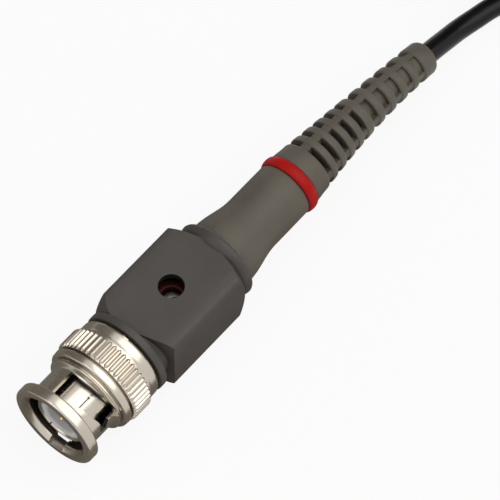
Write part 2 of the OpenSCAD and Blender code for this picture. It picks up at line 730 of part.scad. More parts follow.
// Strap round the waist of the hank.
module hank_tie() color("#26272b") {
    half_w = hank_r - waist_draw + lead_d / 2 + tie_gap;
    top = lead_z + tie_lift + turn_step * loops + lead_d / 2 + slip;
    inner_h = top - bench_z - tie_t;
    round_r = 1.5;
    translate([hank_mid - tie_w / 2, hank_y, (top + bench_z + tie_t) / 2])
        rotate([90, 0, 90]) linear_extrude(height = tie_w) difference() {
            rounded_rect(2 * (half_w + tie_t), inner_h + 2 * tie_t, round_r + tie_t);
            rounded_rect(2 * half_w, inner_h, round_r);
        }
}

// ---------- hand probe ----------

module in_head() translate([head_x, 0, head_z]) children();

function head_boot_r(x) = tail_r + (head_root_r - tail_r)
    * pow(min(1, x / head_boot_len), 1.5);

module head_boot() color("#6b645a") in_head() difference() {
    turned(concat(
        [[0, 0], [tail_r - 0.25, 0]],
        [for (i = [1:10]) let (x = head_boot_len * i / 10) [head_boot_r(x), x]],
        [[head_root_r - 0.4, head_boot_len],
         [head_root_r - 0.4, head_boot_len + head_marker_w],
         [head_root_r + 0.3, head_boot_len + head_marker_w], [head_root_r + 0.3, shell_x],
         [head_spigot_r, shell_x], [head_spigot_r, shell_x + head_spigot_len],
         [0, shell_x + head_spigot_len]]));
    for (k = [0:head_slots - 1]) translate([3 + head_pitch * k, 0, 0])
        window_cutter(head_slot_w, core_r);
    bar(head_boot_len, shell_x + head_spigot_len + cut, lead_d / 2 + fit);
}

module head_marker_ring() color("#c62226") in_head()
    sleeve(head_boot_len + 0.02, head_boot_len + head_marker_w - 0.02,
        head_root_r + 0.25, head_root_r - 0.4 + fit);

module head_lead_end() color("#1c1c1e") in_head() turned([
    [0, head_boot_len], [lead_d / 2, head_boot_len],
    [lead_d / 2, shell_x + head_lead_len], [tip_r, shell_x + head_lead_len],
    [tip_r, barrel_x - resistor_set], [0, barrel_x - resistor_set]]);

function grip_outline() = [
    [0, shell_x], [shell_neck_r - 0.4, shell_x], [shell_neck_r, shell_x + 0.5],
    for (i = [1:6]) let (t = i / 6)
        [shell_neck_r + (grip_r - shell_neck_r) * (1 - cos(180 * t)) / 2,
         shell_x + 0.5 + 9 * t],
    [grip_r, bulge_end_x], [grip_r - 0.6, waist_x],
    for (k = [0:grip_grooves - 1]) let (x = waist_x + 2 + groove_pitch * k)
        each [[grip_r - 0.6, x], [grip_r - 0.95, x + 0.35],
              [grip_r - 0.95, x + 0.85], [grip_r - 0.6, x + 1.2]],
    [grip_r - 0.6, shell_end_x], [0, shell_end_x]];

module grip_shell(side) in_head() difference() {
    intersection() {
        turned(grip_outline());
        block([shell_x - 1, -10, side > 0 ? 0 : -10],
              [shell_end_x + 1, 10, side > 0 ? 10 : 0]);
    }
    bar(hollow_x, hollow_end_x, hollow_r);
    bar(shell_x - cut, shell_end_x + cut, head_spigot_r + fit);
    if (side > 0)
        block([window_x, -knob_w / 2 - run_gap, 0],
              [window_x + window_len, knob_w / 2 + run_gap, 10]);
}

module grip_shell_upper() color("#59554f") grip_shell(1);
module grip_shell_lower() color("#59554f") grip_shell(-1);

module divider_board() color("#3f6b45") in_head()
    block([shell_x + head_lead_len + slip, -head_board_w / 2, head_board_z],
          [barrel_x - slip, head_board_w / 2, head_board_z + plate_t]);

module divider_resistor() color("#3d6fa3") in_head() {
    x = barrel_x - resistor_set;
    turned([[0, x], [0.3, x], [0.3, x + 2.5], [0.9, x + 3], [1.2, x + 3.6],
            [1.2, x + 13.4], [0.9, x + 14], [0.3, x + 14.5], [0.3, barrel_x],
            [0, barrel_x]]);
}

module range_switch() color("#a8a59d") in_head() {
    x = window_x + slip;
    low = head_board_z + plate_t + fit;
    block([x - 1.2, -2.5, low], [x + knob_len + 1.2, 2.5, low + slide_t]);
    difference() {
        block([x, -knob_w / 2, low], [x + knob_len, knob_w / 2, knob_top]);
        for (k = [1:3]) translate([x + knob_len * k / 4, 0, knob_top]) rotate([90, 0, 0])
            cylinder(h = 2 * knob_w, r = 0.35, center = true);
    }
}

module finger_guard() color("#59554f") in_head() difference() {
    turned([[0, guard_x], [guard_r - 0.5, guard_x], [guard_r, guard_x + 0.5],
            [guard_r, guard_x + 1.7], [guard_r - 0.5, guard_x + 2.2],
            [5.2, guard_x + 2.9], [4.7, guard_x + guard_len], [0, guard_x + guard_len]]);
    bar(guard_x - cut, guard_x + guard_len + cut, head_spigot_r + fit);
}

module nose_sleeve() color("#59554f") in_head() difference() {
    turned([[0, hollow_end_x], [head_spigot_r, hollow_end_x],
            [head_spigot_r, guard_x + guard_len],
            [head_spigot_r - 0.12, guard_x + guard_len + 4],
            [barrel_r + 0.75, nose_end_x - 1], [barrel_r + 0.6, nose_end_x - 0.35],
            [barrel_r + 0.3, nose_end_x], [0, nose_end_x]]);
    bar(hollow_end_x - cut, nose_end_x + cut, barrel_r + fit);
}

module ground_barrel() color("#c4bfb2") in_head()
    sleeve(barrel_x, barrel_end_x, barrel_r, barrel_r - 0.45);

module tip_insulator() color("#e8e4d8") in_head() turned([
    [tip_r + fit, hollow_end_x], [barrel_r - 0.45 - fit, hollow_end_x],
    [barrel_r - 0.45 - fit, barrel_end_x + 0.6],
    [tip_r + 0.5, barrel_end_x + 1.6], [tip_r + fit, barrel_end_x + 1.6]]);

module probe_tip() color("#d8ad4f") in_head() turned([
    [0, tip_rear_x], [tip_r, tip_rear_x], [tip_r, tip_end_x - 2.5],
    [0.12, tip_end_x], [0, tip_end_x]]);

// ---------- hook clip ----------

module hook_housing() color("#3b3a3c") in_head() difference() {
    turned([[0, housing_x], [sleeve_bore_r - 0.1, housing_x],
            [sleeve_bore_r - 0.1, spring_x], [housing_r, spring_x],
            [housing_r, housing_x + housing_len - 0.5],
            [housing_r - 0.5, housing_x + housing_len], [0, housing_x + housing_len]]);
    bar(housing_x - cut, tip_end_x - 2, barrel_r + fit);
    bar(housing_x, housing_x + housing_len + cut, wire_r + fit);
}

module hook_spring() color("#b8b8bc") in_head() {
    mean_r = (housing_r + run_gap + sleeve_bore_r) / 2;
    steps = 8 * spring_turns;
    lead = (spring_len - 2 * spring_wire_r - 0.06) / spring_turns;
    x0 = spring_x + spring_wire_r + 0.03;
    sides = 6;
    points = [for (i = [0:steps], k = [0:sides - 1])
        let (a = 360 * i / 8, b = 360 * k / sides, r = mean_r + spring_wire_r * cos(b))
        [x0 + lead * i / 8 + spring_wire_r * sin(b), -r * sin(a), r * cos(a)]];
    base = steps * sides;
    polyhedron(points = points,
        faces = [
            for (i = [0:steps - 1], k = [0:sides - 1])
                let (a = i * sides + k, b = i * sides + (k + 1) % sides)
                each [[a, b + sides, b], [a, a + sides, b + sides]],
            for (k = [1:sides - 2]) each [[0, k, k + 1], [base, base + k + 1, base + k]]],
        convexity = 10);
}

module hook_sleeve() color("#3b3a3c") in_head() difference() {
    taper_x = sleeve_step_x + 1;
    turned([[0, sleeve_x], [flange_out_r - 0.4, sleeve_x], [flange_out_r - 0.1, sleeve_x + 0.15],
            [flange_out_r, sleeve_x + 0.4], [flange_out_r, sleeve_x + 1.1],
            [flange_out_r - 0.15, sleeve_x + 1.4], [sleeve_r + 0.3, sleeve_x + 2.1],
            [sleeve_r, sleeve_x + 2.6],
            for (k = [0:clip_grooves - 1]) let (x = sleeve_x + 5 + clip_pitch * k)
                each [[sleeve_r, x], [sleeve_r - 0.22, x + 0.2],
                      [sleeve_r - 0.22, x + 0.75], [sleeve_r, x + 0.95]],
            for (i = [0:7]) let (t = i / 7)
                [clip_nose_r + (sleeve_r - clip_nose_r) * (1 - pow(t, 1.8)),
                 taper_x + (sleeve_end_x - 0.4 - taper_x) * t],
            [clip_nose_r - 0.12, sleeve_end_x - 0.12], [clip_nose_r - 0.4, sleeve_end_x],
            [0, sleeve_end_x]]);
    bar(sleeve_x - cut, sleeve_step_x, sleeve_bore_r);
    bar(sleeve_step_x - cut, sleeve_step_x + hook_travel + 2, housing_r + run_gap);
    bar(sleeve_x, sleeve_end_x + cut, wire_r + 0.35);
}

module hook_wire() color("#c4bfb2") in_head() {
    bend_centre_x = sleeve_end_x + 1.7;
    bar(tip_end_x + 0.2, bend_centre_x, wire_r);
    translate([bend_centre_x, hook_r, 0]) rotate([0, 0, -90])
        rotate_extrude(angle = 180) translate([hook_r, 0]) circle(r = wire_r);
    translate([0, 2 * hook_r, 0]) bar(sleeve_end_x + 0.2, bend_centre_x, wire_r);
}

coupling_nut();
retaining_ring();
thrust_washer();
wave_washer();
outer_contact();
contact_insulator();
centre_pin();
plug_body();
seal_gasket();
comp_box_shell();
chassis_frame();
circuit_board();
trimmer_body();
trimmer_screw();
chip_resistor();
chip_capacitor();
crimp_ferrule();
lead_inner_end();
cable_boot();
boot_marker_ring();
lead_box_stretch();
lead_hank();
lead_head_stretch();
hank_tie();
head_boot();
head_marker_ring();
head_lead_end();
grip_shell_upper();
grip_shell_lower();
divider_board();
divider_resistor();
range_switch();
finger_guard();
nose_sleeve();
ground_barrel();
tip_insulator();
probe_tip();
hook_housing();
hook_spring();
hook_sleeve();
hook_wire();
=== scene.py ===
"""Looks of an oscilloscope probe: bayonet plug, compensation box, slotted boot,
lead folded into a tied hank, and hand probe with a hook clip.
Sizes are written in millimetres and multiplied by MM where they are placed."""
import math

import bmesh
import bpy
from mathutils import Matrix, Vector


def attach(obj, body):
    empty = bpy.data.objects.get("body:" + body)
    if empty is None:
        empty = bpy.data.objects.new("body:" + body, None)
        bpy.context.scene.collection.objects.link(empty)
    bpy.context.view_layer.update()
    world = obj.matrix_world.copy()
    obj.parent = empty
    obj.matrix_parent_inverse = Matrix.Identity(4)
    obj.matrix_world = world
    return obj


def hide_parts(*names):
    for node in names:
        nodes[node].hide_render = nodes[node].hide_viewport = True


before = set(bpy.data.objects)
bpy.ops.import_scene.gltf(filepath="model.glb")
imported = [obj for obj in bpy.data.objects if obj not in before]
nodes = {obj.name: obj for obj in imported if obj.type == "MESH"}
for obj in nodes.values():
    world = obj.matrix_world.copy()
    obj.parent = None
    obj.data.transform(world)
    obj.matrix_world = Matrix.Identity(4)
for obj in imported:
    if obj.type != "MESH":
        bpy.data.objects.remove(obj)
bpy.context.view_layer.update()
bpy.ops.object.select_all(action="DESELECT")

MM = 0.001
BENCH_Z = -7.25
LEAD_D = 3.2
LEAD_Z = BENCH_Z + LEAD_D / 2
BOX_TAIL = (78.9, 0.0, -3.0)
HEAD_X, HEAD_Z = 208.0, -0.25


# ---------- camera, light and floor ----------

def place_camera():
    data = bpy.data.cameras.new("camera")
    data.sensor_width = 36
    data.lens = 360
    data.clip_start, data.clip_end = 0.05, 20
    camera = bpy.data.objects.new("camera", data)
    bpy.context.scene.collection.objects.link(camera)
    azimuth, elevation = math.radians(-49.65), math.radians(61)
    target = Vector((37.4, -2.59, 0)) * MM
    back = Vector((math.sin(azimuth) * math.cos(elevation),
                   -math.cos(azimuth) * math.cos(elevation), math.sin(elevation)))
    camera.location = target + 0.7 * back
    camera.rotation_mode = "QUATERNION"
    camera.rotation_quaternion = (-back).to_track_quat("-Z", "Y")
    bpy.context.scene.camera = camera


def soft_box(name, place, aim, width, height, watts, colour):
    data = bpy.data.lights.new(name, "AREA")
    data.shape = "RECTANGLE"
    data.size, data.size_y = width, height
    data.energy = watts
    data.color = colour
    lamp = bpy.data.objects.new(name, data)
    bpy.context.scene.collection.objects.link(lamp)
    lamp.location = place
    lamp.rotation_mode = "QUATERNION"
    lamp.rotation_quaternion = (Vector(aim) - Vector(place)).to_track_quat("-Z", "Y")


def background_rays(tree):
    """One for the rays that should meet the white background: seen straight, in a
    reflection or through something clear."""
    rays = tree.nodes.new("ShaderNodeLightPath")
    both = tree.nodes.new("ShaderNodeMath")
    both.operation = "ADD"
    either = tree.nodes.new("ShaderNodeMath")
    either.operation = "ADD"
    either.use_clamp = True
    tree.links.new(rays.outputs["Is Camera Ray"], both.inputs[0])
    tree.links.new(rays.outputs["Is Glossy Ray"], both.inputs[1])
    tree.links.new(both.outputs[0], either.inputs[0])
    tree.links.new(rays.outputs["Is Transmission Ray"], either.inputs[1])
    return either.outputs[0]


def light_studio():
    bpy.context.scene.view_settings.view_transform = "Standard"
    world = bpy.data.worlds.new("studio")
    bpy.context.scene.world = world
    world.use_nodes = True
    tree = world.node_tree
    back = tree.nodes["Background"]
    paper = tree.nodes.new("ShaderNodeBackground")
    mix = tree.nodes.new("ShaderNodeMixShader")
    back.inputs["Color"].default_value = (0.97, 0.98, 1.0, 1)
    back.inputs["Strength"].default_value = 0.3
    paper.inputs["Color"].default_value = (1, 1, 1, 1)
    paper.inputs["Strength"].default_value = 1.0
    tree.links.new(background_rays(tree), mix.inputs["Fac"])
    tree.links.new(back.outputs[0], mix.inputs[1])
    tree.links.new(paper.outputs[0], mix.inputs[2])
    tree.links.new(mix.outputs[0], tree.nodes["World Output"].inputs["Surface"])
    soft_box("key_light", (0.26, -0.32, 0.74), (0.03, 0, 0), 0.95, 0.95, 4.2, (1, 0.985, 0.96))
    soft_box("fill_light", (-0.45, 0.25, 0.55), (0.06, 0, 0), 0.5, 0.4, 0.8, (0.96, 0.98, 1))


def dark_card(name, corners):
    """A dark card that only reflections see: it draws the dark edges of bright metal."""
    bpy.ops.mesh.primitive_plane_add(size=1)
    card = bpy.context.object
    card.name = card.data.name = name
    for vertex, corner in zip(card.data.vertices, corners):
        vertex.co = corner
    felt = bpy.data.materials.new(name + "_felt")
    felt.use_nodes = True
    shader = felt.node_tree.nodes["Principled BSDF"]
    shader.inputs["Base Color"].default_value = (0.3, 0.28, 0.25, 1)
    shader.inputs["Roughness"].default_value = 1.0
    card.data.materials.append(felt)
    card.visible_camera = card.visible_diffuse = card.visible_shadow = False
    card.visible_transmission = False


def hang_cards():
    dark_card("card_behind", ((-0.2, 0.17, -0.0072), (0.5, 0.17, -0.0072),
                              (-0.2, 0.17, 0.26), (0.5, 0.17, 0.26)))
    # Painted shadow: a dark sheet on the floor under the object, seen only in reflections, in
    # place of the object's shadow there.
    dark_card("painted_shadow_card", ((-0.03, -0.017, -0.0072), (0.06, -0.017, -0.0072),
                             (-0.03, 0.17, -0.0072), (0.06, 0.17, -0.0072)))


def lay_floor():
    bpy.ops.mesh.primitive_plane_add(size=6, location=(0, 0, BENCH_Z * MM))
    floor = bpy.context.object
    floor.name = "floor"
    paper = bpy.data.materials.new("white_paper")
    paper.use_nodes = True
    tree = paper.node_tree
    matt = tree.nodes["Principled BSDF"]
    matt.inputs["Base Color"].default_value = (0.93, 0.93, 0.93, 1)
    matt.inputs["Roughness"].default_value = 0.9
    glow = tree.nodes.new("ShaderNodeEmission")
    glow.inputs["Strength"].default_value = 1.0
    share = tree.nodes.new("ShaderNodeMath")
    share.operation = "MULTIPLY"
    share.inputs[1].default_value = 0.9
    mix = tree.nodes.new("ShaderNodeMixShader")
    tree.links.new(background_rays(tree), share.inputs[0])
    tree.links.new(share.outputs[0], mix.inputs["Fac"])
    tree.links.new(matt.outputs[0], mix.inputs[1])
    tree.links.new(glow.outputs[0], mix.inputs[2])
    tree.links.new(mix.outputs[0], tree.nodes["Material Output"].inputs["Surface"])
    floor.data.materials.append(paper)


# ---------- finishes ----------

def finish(name, colour, roughness, metallic=0.0, **sockets):
    """A new node material and its shader, with the plain values set on the shader."""
    material = bpy.data.materials.new(name)
    material.use_nodes = True
    shader = material.node_tree.nodes["Principled BSDF"]
    shader.inputs["Base Color"].default_value = (*colour, 1)
    shader.inputs["Roughness"].default_value = roughness
    shader.inputs["Metallic"].default_value = metallic
    for socket, value in sockets.items():
        shader.inputs[socket.replace("_", " ")].default_value = value
    return material


def object_noise(material, scale, stretch=(1, 1, 1), detail=3.0):
    """Noise in object coordinates; scale is in features per metre."""
    tree = material.node_tree
    place = tree.nodes.new("ShaderNodeTexCoord")
    turn = tree.nodes.new("ShaderNodeMapping")
    turn.inputs["Scale"].default_value = stretch
    noise = tree.nodes.new("ShaderNodeTexNoise")
    noise.inputs["Scale"].default_value = scale
    noise.inputs["Detail"].default_value = detail
    tree.links.new(place.outputs["Object"], turn.inputs["Vector"])
    tree.links.new(turn.outputs["Vector"], noise.inputs["Vector"])
    return noise.outputs["Fac"]


def spread(material, factor, low, high):
    """Maps noise, which stays near 0.5, to the range low to high."""
    tree = material.node_tree
    ramp = tree.nodes.new("ShaderNodeMapRange")
    ramp.inputs["From Min"].default_value = 0.3
    ramp.inputs["From Max"].default_value = 0.7
    ramp.inputs["To Min"].default_value = low
    ramp.inputs["To Max"].default_value = high
    tree.links.new(factor, ramp.inputs["Value"])
    return ramp.outputs["Result"]


def tint(material, factor, dark, light):
    tree = material.node_tree
    mix = tree.nodes.new("ShaderNodeMix")
    mix.data_type = "RGBA"
    mix.inputs[6].default_value = (*dark, 1)
    mix.inputs[7].default_value = (*light, 1)
    tree.links.new(factor, mix.inputs[0])
    shader = tree.nodes["Principled BSDF"]
    tree.links.new(mix.outputs[2], shader.inputs["Base Color"])


def vary_roughness(material, factor, low, high):
    shader = material.node_tree.nodes["Principled BSDF"]
    material.node_tree.links.new(spread(material, factor, low, high),
                                 shader.inputs["Roughness"])


def relief(material, height, depth_mm, strength=1.0):
    """Bump of the given depth. Several calls stack, the newest on top."""
    tree = material.node_tree
    shader = tree.nodes["Principled BSDF"]
    bump = tree.nodes.new("ShaderNodeBump")
    bump.inputs["Strength"].default_value = strength
    bump.inputs["Distance"].default_value = depth_mm * MM
    tree.links.new(height, bump.inputs["Height"])
    if shader.inputs["Normal"].links:
        tree.links.new(shader.inputs["Normal"].links[0].from_socket, bump.inputs["Normal"])
    tree.links.new(bump.outputs["Normal"], shader.inputs["Normal"])


def turned_metal(name, dark, light, rough_low, rough_high, mark_depth):
    """Bright turned metal: faint marks run round X, with a mottled polish."""
    material = finish(name, light, rough_high, 1.0)
    marks = object_noise(material, 900, (9, 0.5, 0.5), 3)
    polish = object_noise(material, 140, (1, 1, 1), 3)
    tint(material, spread(material, polish, 0, 1), dark, light)
    vary_roughness(material, marks, rough_low, rough_high)
    relief(material, marks, mark_depth)
    return material


def moulded(name, dark, light, rough_low, rough_high, grain_scale, grain_depth, **sockets):
    """Moulded plastic or rubber: fine pitted grain, cloudy colour, uneven shine."""
    material = finish(name, light, rough_high, **sockets)
    cloud = object_noise(material, 180, (1, 1, 1), 4)
    grain = object_noise(material, grain_scale, (1, 1, 1), 2)
    tint(material, spread(material, cloud, 0, 1), dark, light)
    vary_roughness(material, cloud, rough_low, rough_high)
    relief(material, grain, grain_depth)
    return material


def make_finishes():
    return {
        "nickel": turned_metal("bright_nickel", (0.50, 0.452, 0.385), (0.57, 0.52, 0.447),
                               0.2, 0.28, 0.0014),
        "spring_steel": turned_metal("spring_steel", (0.45, 0.45, 0.46), (0.6, 0.6, 0.61),
                                     0.22, 0.35, 0.004),
        "gold": turned_metal("gold_flash", (0.72, 0.48, 0.16), (0.86, 0.62, 0.25),
                             0.16, 0.28, 0.003),
        "white_insulator": moulded("turned_white_plastic", (0.70, 0.71, 0.72),
                                   (0.79, 0.79, 0.8), 0.3, 0.42, 1500, 0.006,
                                   Subsurface_Weight=0.15, Subsurface_Scale=0.001),
        "black_rubber": moulded("gasket_rubber", (0.012, 0.011, 0.01), (0.02, 0.019, 0.018),
                                0.45, 0.6, 3000, 0.01),
        "box_plastic": moulded("box_plastic", (0.072, 0.063, 0.056), (0.086, 0.077, 0.069),
                               0.4, 0.5, 5200, 0.014, Specular_IOR_Level=0.3),
        "boot_rubber": moulded("boot_rubber", (0.115, 0.1, 0.077), (0.137, 0.12, 0.095),
                               0.45, 0.55, 4600, 0.014, Specular_IOR_Level=0.3),
        "red_plastic": moulded("red_band", (0.42, 0.005, 0.004), (0.5, 0.008, 0.006),
                               0.36, 0.46, 2600, 0.012, Specular_IOR_Level=0.15),
        # Painted shade: a darkened copy of the red plastic, for the trimmer deep in its hole.
        "trimmer_red_painted_shade": moulded("trimmer_red_painted_shade", (0.035, 0.003, 0.002), (0.055, 0.005, 0.003),
                               0.45, 0.55, 2600, 0.012, Specular_IOR_Level=0.2),
        # Painted shade: near black, for the wall of the trimmer's access hole.
        "hole_painted_shade": moulded("hole_painted_shade", (0.008, 0.007, 0.006), (0.014, 0.012, 0.011),
                              0.6, 0.7, 3000, 0.01, Specular_IOR_Level=0.2),
        "boot_hollow": moulded("boot_hollow", (0.012, 0.01, 0.008), (0.02, 0.017, 0.013),
                               0.6, 0.7, 4600, 0.014, Specular_IOR_Level=0.2),
        # Painted shade: a darkened copy of the nickel, for the inside of the nut.
        "bore_painted_shade": turned_metal("bore_painted_shade", (0.035, 0.03, 0.026), (0.06, 0.052, 0.045),
                                  0.35, 0.5, 0.004),
        # Dull steel, darkened further as painted shade, for the trimmer screw at the bottom of
        # its hole.
        "dull_steel_painted_shade": turned_metal("dull_steel_painted_shade", (0.11, 0.105, 0.095), (0.18, 0.17, 0.15),
                                   0.35, 0.5, 0.004),
        "lead_jacket": moulded("lead_jacket", (0.004, 0.004, 0.0042), (0.007, 0.007, 0.0075),
                               0.24, 0.32, 900, 0.012, Specular_IOR_Level=0.2),
        "tie_fabric": moulded("tie_fabric", (0.012, 0.013, 0.016), (0.03, 0.031, 0.036),
                              0.75, 0.9, 3500, 0.05),
        "board_laminate": moulded("board_laminate", (0.02, 0.075, 0.03), (0.03, 0.1, 0.04),
                                  0.3, 0.4, 2500, 0.006),
        "chassis_brass": turned_metal("chassis_brass", (0.5, 0.42, 0.2), (0.62, 0.52, 0.28),
                                      0.25, 0.38, 0.004),
        "ceramic": moulded("capacitor_ceramic", (0.34, 0.2, 0.1), (0.42, 0.27, 0.14),
                           0.4, 0.5, 2500, 0.006),
        "chip_black": moulded("chip_black", (0.012, 0.012, 0.014), (0.02, 0.02, 0.022),
                              0.35, 0.45, 2500, 0.006),
        "resistor_blue": moulded("resistor_lacquer", (0.03, 0.1, 0.26), (0.05, 0.14, 0.34),
                                 0.2, 0.3, 2000, 0.006),
        "switch_grey": moulded("switch_knob", (0.3, 0.29, 0.26), (0.36, 0.35, 0.31),
                               0.38, 0.48, 4000, 0.012),
        "clip_plastic": moulded("clip_plastic", (0.028, 0.027, 0.028), (0.042, 0.041, 0.042),
                                0.34, 0.44, 4500, 0.014),
    }


FINISH_OF = {
    "coupling_nut": "nickel", "retaining_ring": "spring_steel",
    "thrust_washer": "spring_steel", "wave_washer": "spring_steel",
    "outer_contact": "nickel", "contact_insulator": "white_insulator",
    "centre_pin": "gold", "plug_body": "nickel", "seal_gasket": "black_rubber",
    "comp_box_shell": "box_plastic", "chassis_frame": "chassis_brass",
    "circuit_board": "board_laminate", "trimmer_body": "trimmer_red_painted_shade",
    "trimmer_screw": "dull_steel_painted_shade", "chip_resistor": "chip_black",
    "chip_capacitor": "ceramic", "crimp_ferrule": "nickel",
    "lead_inner_end": "lead_jacket", "cable_boot": "boot_rubber",
    "boot_marker_ring": "red_plastic", "hank_tie": "tie_fabric",
    "head_boot": "boot_rubber", "head_marker_ring": "red_plastic",
    "head_lead_end": "lead_jacket", "grip_shell_upper": "box_plastic",
    "grip_shell_lower": "box_plastic", "divider_board": "board_laminate",
    "divider_resistor": "resistor_blue", "range_switch": "switch_grey",
    "finger_guard": "box_plastic", "nose_sleeve": "box_plastic",
    "ground_barrel": "nickel", "tip_insulator": "white_insulator",
    "probe_tip": "gold", "hook_housing": "clip_plastic", "hook_spring": "spring_steel",
    "hook_sleeve": "clip_plastic", "hook_wire": "nickel",
}


def dress_nodes(finishes):
    for name, finish_name in FINISH_OF.items():
        node = nodes[name]
        for slot in node.material_slots:
            slot.material = finishes[finish_name]


# ---------- modelling by hand ----------

def alone(piece):
    bpy.ops.object.select_all(action="DESELECT")
    piece.select_set(True)
    bpy.context.view_layer.objects.active = piece


def named(name, size=(1, 1, 1)):
    """The object that an operator has just made, with its size and place in its mesh."""
    piece = bpy.context.object
    piece.scale = size
    piece.name = piece.data.name = name
    bpy.ops.object.transform_apply(location=True, rotation=True, scale=True)
    return piece


def edit(piece):
    alone(piece)
    bpy.ops.object.mode_set(mode="EDIT")
    bpy.ops.mesh.select_mode(type="VERT")
    bpy.ops.mesh.select_all(action="SELECT")


def leave():
    """Closes the seams and poles, turns the faces outward and leaves edit mode."""
    bpy.ops.mesh.select_all(action="SELECT")
    bpy.ops.mesh.remove_doubles(threshold=0.002 * MM)
    bpy.ops.mesh.normals_make_consistent(inside=False)
    bpy.ops.object.mode_set(mode="OBJECT")


def apply(piece, kind, **settings):
    alone(piece)
    modifier = piece.modifiers.new(kind, kind)
    for key, value in settings.items():
        setattr(modifier, key, value)
    bpy.ops.object.modifier_apply(modifier=modifier.name)


def combine(piece, tool, how="DIFFERENCE"):
    apply(piece, "BOOLEAN", object=tool, operation=how, solver="EXACT")
    bpy.data.objects.remove(tool)


def soften(piece, width, angle=40, segments=2):
    apply(piece, "BEVEL", width=width * MM, segments=segments, limit_method="ANGLE",
          angle_limit=math.radians(angle))


def join(pieces):
    alone(pieces[0])
    for piece in pieces:
        piece.select_set(True)
    bpy.ops.object.join()
    return pieces[0]


def copy(piece, name):
    alone(piece)
    bpy.ops.object.duplicate()
    twin = bpy.context.object
    twin.name = twin.data.name = name
    return twin


def swing(piece, degrees, axis="X", centre=(0, 0, 0)):
    """Turns the piece's mesh, with +Z going toward -Y for a turn round X."""
    edit(piece)
    bpy.ops.transform.rotate(value=-math.radians(degrees), orient_axis=axis,
                             center_override=Vector(centre) * MM)
    bpy.ops.object.mode_set(mode="OBJECT")


def block(name, low, high):
    """A box from its low corner to its high one, the start of a piece or a cutter."""
    low, high = Vector(low) * MM, Vector(high) * MM
    bpy.ops.mesh.primitive_cube_add(size=1, location=(low + high) / 2)
    return named(name, high - low)


def bar(name, x0, x1, radius, sides=48, centre=(0, 0)):
    """A round bar along X."""
    bpy.ops.mesh.primitive_cylinder_add(
        vertices=sides, radius=radius * MM, depth=(x1 - x0) * MM,
        location=((x0 + x1) / 2 * MM, centre[0] * MM, centre[1] * MM),
        rotation=(0, math.pi / 2, 0))
    return named(name)


def post(name, x, y, z0, z1, radius, sides=48):
    """A round bar standing along Z."""
    bpy.ops.mesh.primitive_cylinder_add(
        vertices=sides, radius=radius * MM, depth=(z1 - z0) * MM,
        location=(x * MM, y * MM, (z0 + z1) / 2 * MM))
    return named(name)


def eased(outline, ease, closed=False):
    """The outline with its corners rounded over a length of ease or a little less."""
    rounded = []
    for i, (station, radius) in enumerate(outline):
        here = Vector((station, radius))
        if not closed and i in (0, len(outline) - 1):
            rounded.append((station, radius))
            continue
        back = Vector(outline[i - 1]) - here
        ahead = Vector(outline[(i + 1) % len(outline)]) - here
        if math.pi - back.angle(ahead) < 0.2:
            rounded.append((station, radius))
            continue
        reach = min(ease, 0.42 * back.length, 0.42 * ahead.length)
        start, end = here + reach * back.normalized(), here + reach * ahead.normalized()
        for t in (0, 1 / 3, 2 / 3, 1):
            rounded.append(tuple((1 - t) ** 2 * start + 2 * t * (1 - t) * here + t * t * end))
    return rounded


def turned(name, outline, sides=96, closed=False, upright=False, centre=(0, 0, 0)):
    """A turned piece: one vertex is drawn out along the outline, whose points are
    (station, radius), and the outline is spun round X, or round Z when upright."""
    def spot(point):
        offset = (point[1], 0, point[0]) if upright else (point[0], 0, point[1])
        return (Vector(centre) + Vector(offset)) * MM

    if closed:
        outline = outline + outline[:1]
    bpy.ops.mesh.primitive_plane_add(size=MM, location=spot(outline[0]))
    piece = named(name)
    edit(piece)
    bpy.ops.mesh.merge(type="CENTER")
    for last, point in zip(outline, outline[1:]):
        bpy.ops.mesh.extrude_vertices_move(
            TRANSFORM_OT_translate={"value": spot(point) - spot(last)})
    bpy.ops.mesh.select_all(action="SELECT")
    bpy.ops.mesh.spin(steps=sides, angle=2 * math.pi, center=Vector(centre) * MM,
                      axis=(0, 0, 1) if upright else (1, 0, 0))
    leave()
    return piece


def pick(piece, test):
    """In edit mode, selects the faces whose centre and normal pass the test."""
    bpy.ops.mesh.select_mode(type="FACE")
    bpy.ops.mesh.select_all(action="DESELECT")
    mesh = bmesh.from_edit_mesh(piece.data)
    for face in mesh.faces:
        if test(face.calc_center_median() / MM, face.normal):
            face.select_set(True)
    bmesh.update_edit_mesh(piece.data)


def pick_edges(piece, test):
    """In edit mode, selects the edges whose two ends pass the test."""
    bpy.ops.mesh.select_mode(type="EDGE")
    bpy.ops.mesh.select_all(action="DESELECT")
    mesh = bmesh.from_edit_mesh(piece.data)
    for edge in mesh.edges:
        if test(*(vertex.co / MM for vertex in edge.verts)):
            edge.select_set(True)
    bmesh.update_edit_mesh(piece.data)


def place(piece, body, slot, *stands_for, angle=35, look=None):
    """Shades the piece, gives it its finish and fixes it to its body."""
    alone(piece)
    bpy.ops.object.shade_smooth_by_angle(angle=math.radians(angle))
    piece.data.materials.clear()
    piece.data.materials.append(finishes[look or slot])
    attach(piece, body)
    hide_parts(*stands_for)
    return piece


def shade(piece, look, test):
    """Gives a second finish, here painted shade, to the faces whose centre and normal pass the
    test.
    """
    piece.data.materials.append(finishes[look])
    edit(piece)
    pick(piece, test)
    piece.active_material_index = len(piece.data.materials) - 1
    bpy.ops.object.material_slot_assign()
    bpy.ops.object.mode_set(mode="OBJECT")


# ---------- bayonet plug ----------

NUT_BORE_R, NUT_RING_R, NUT_NECK_R = 4.93, 6.8, 5.5
CAVITY_R, SNAP_X, SNAP_T = 5.75, 11.85, 0.45
KNURL_X, KNURL_END_X, KNURL_R, ROOT_R = 7.6, 11.2, 7.25, 6.91
KNURL_TEETH = 50
NUT_REAR_X = 13.4
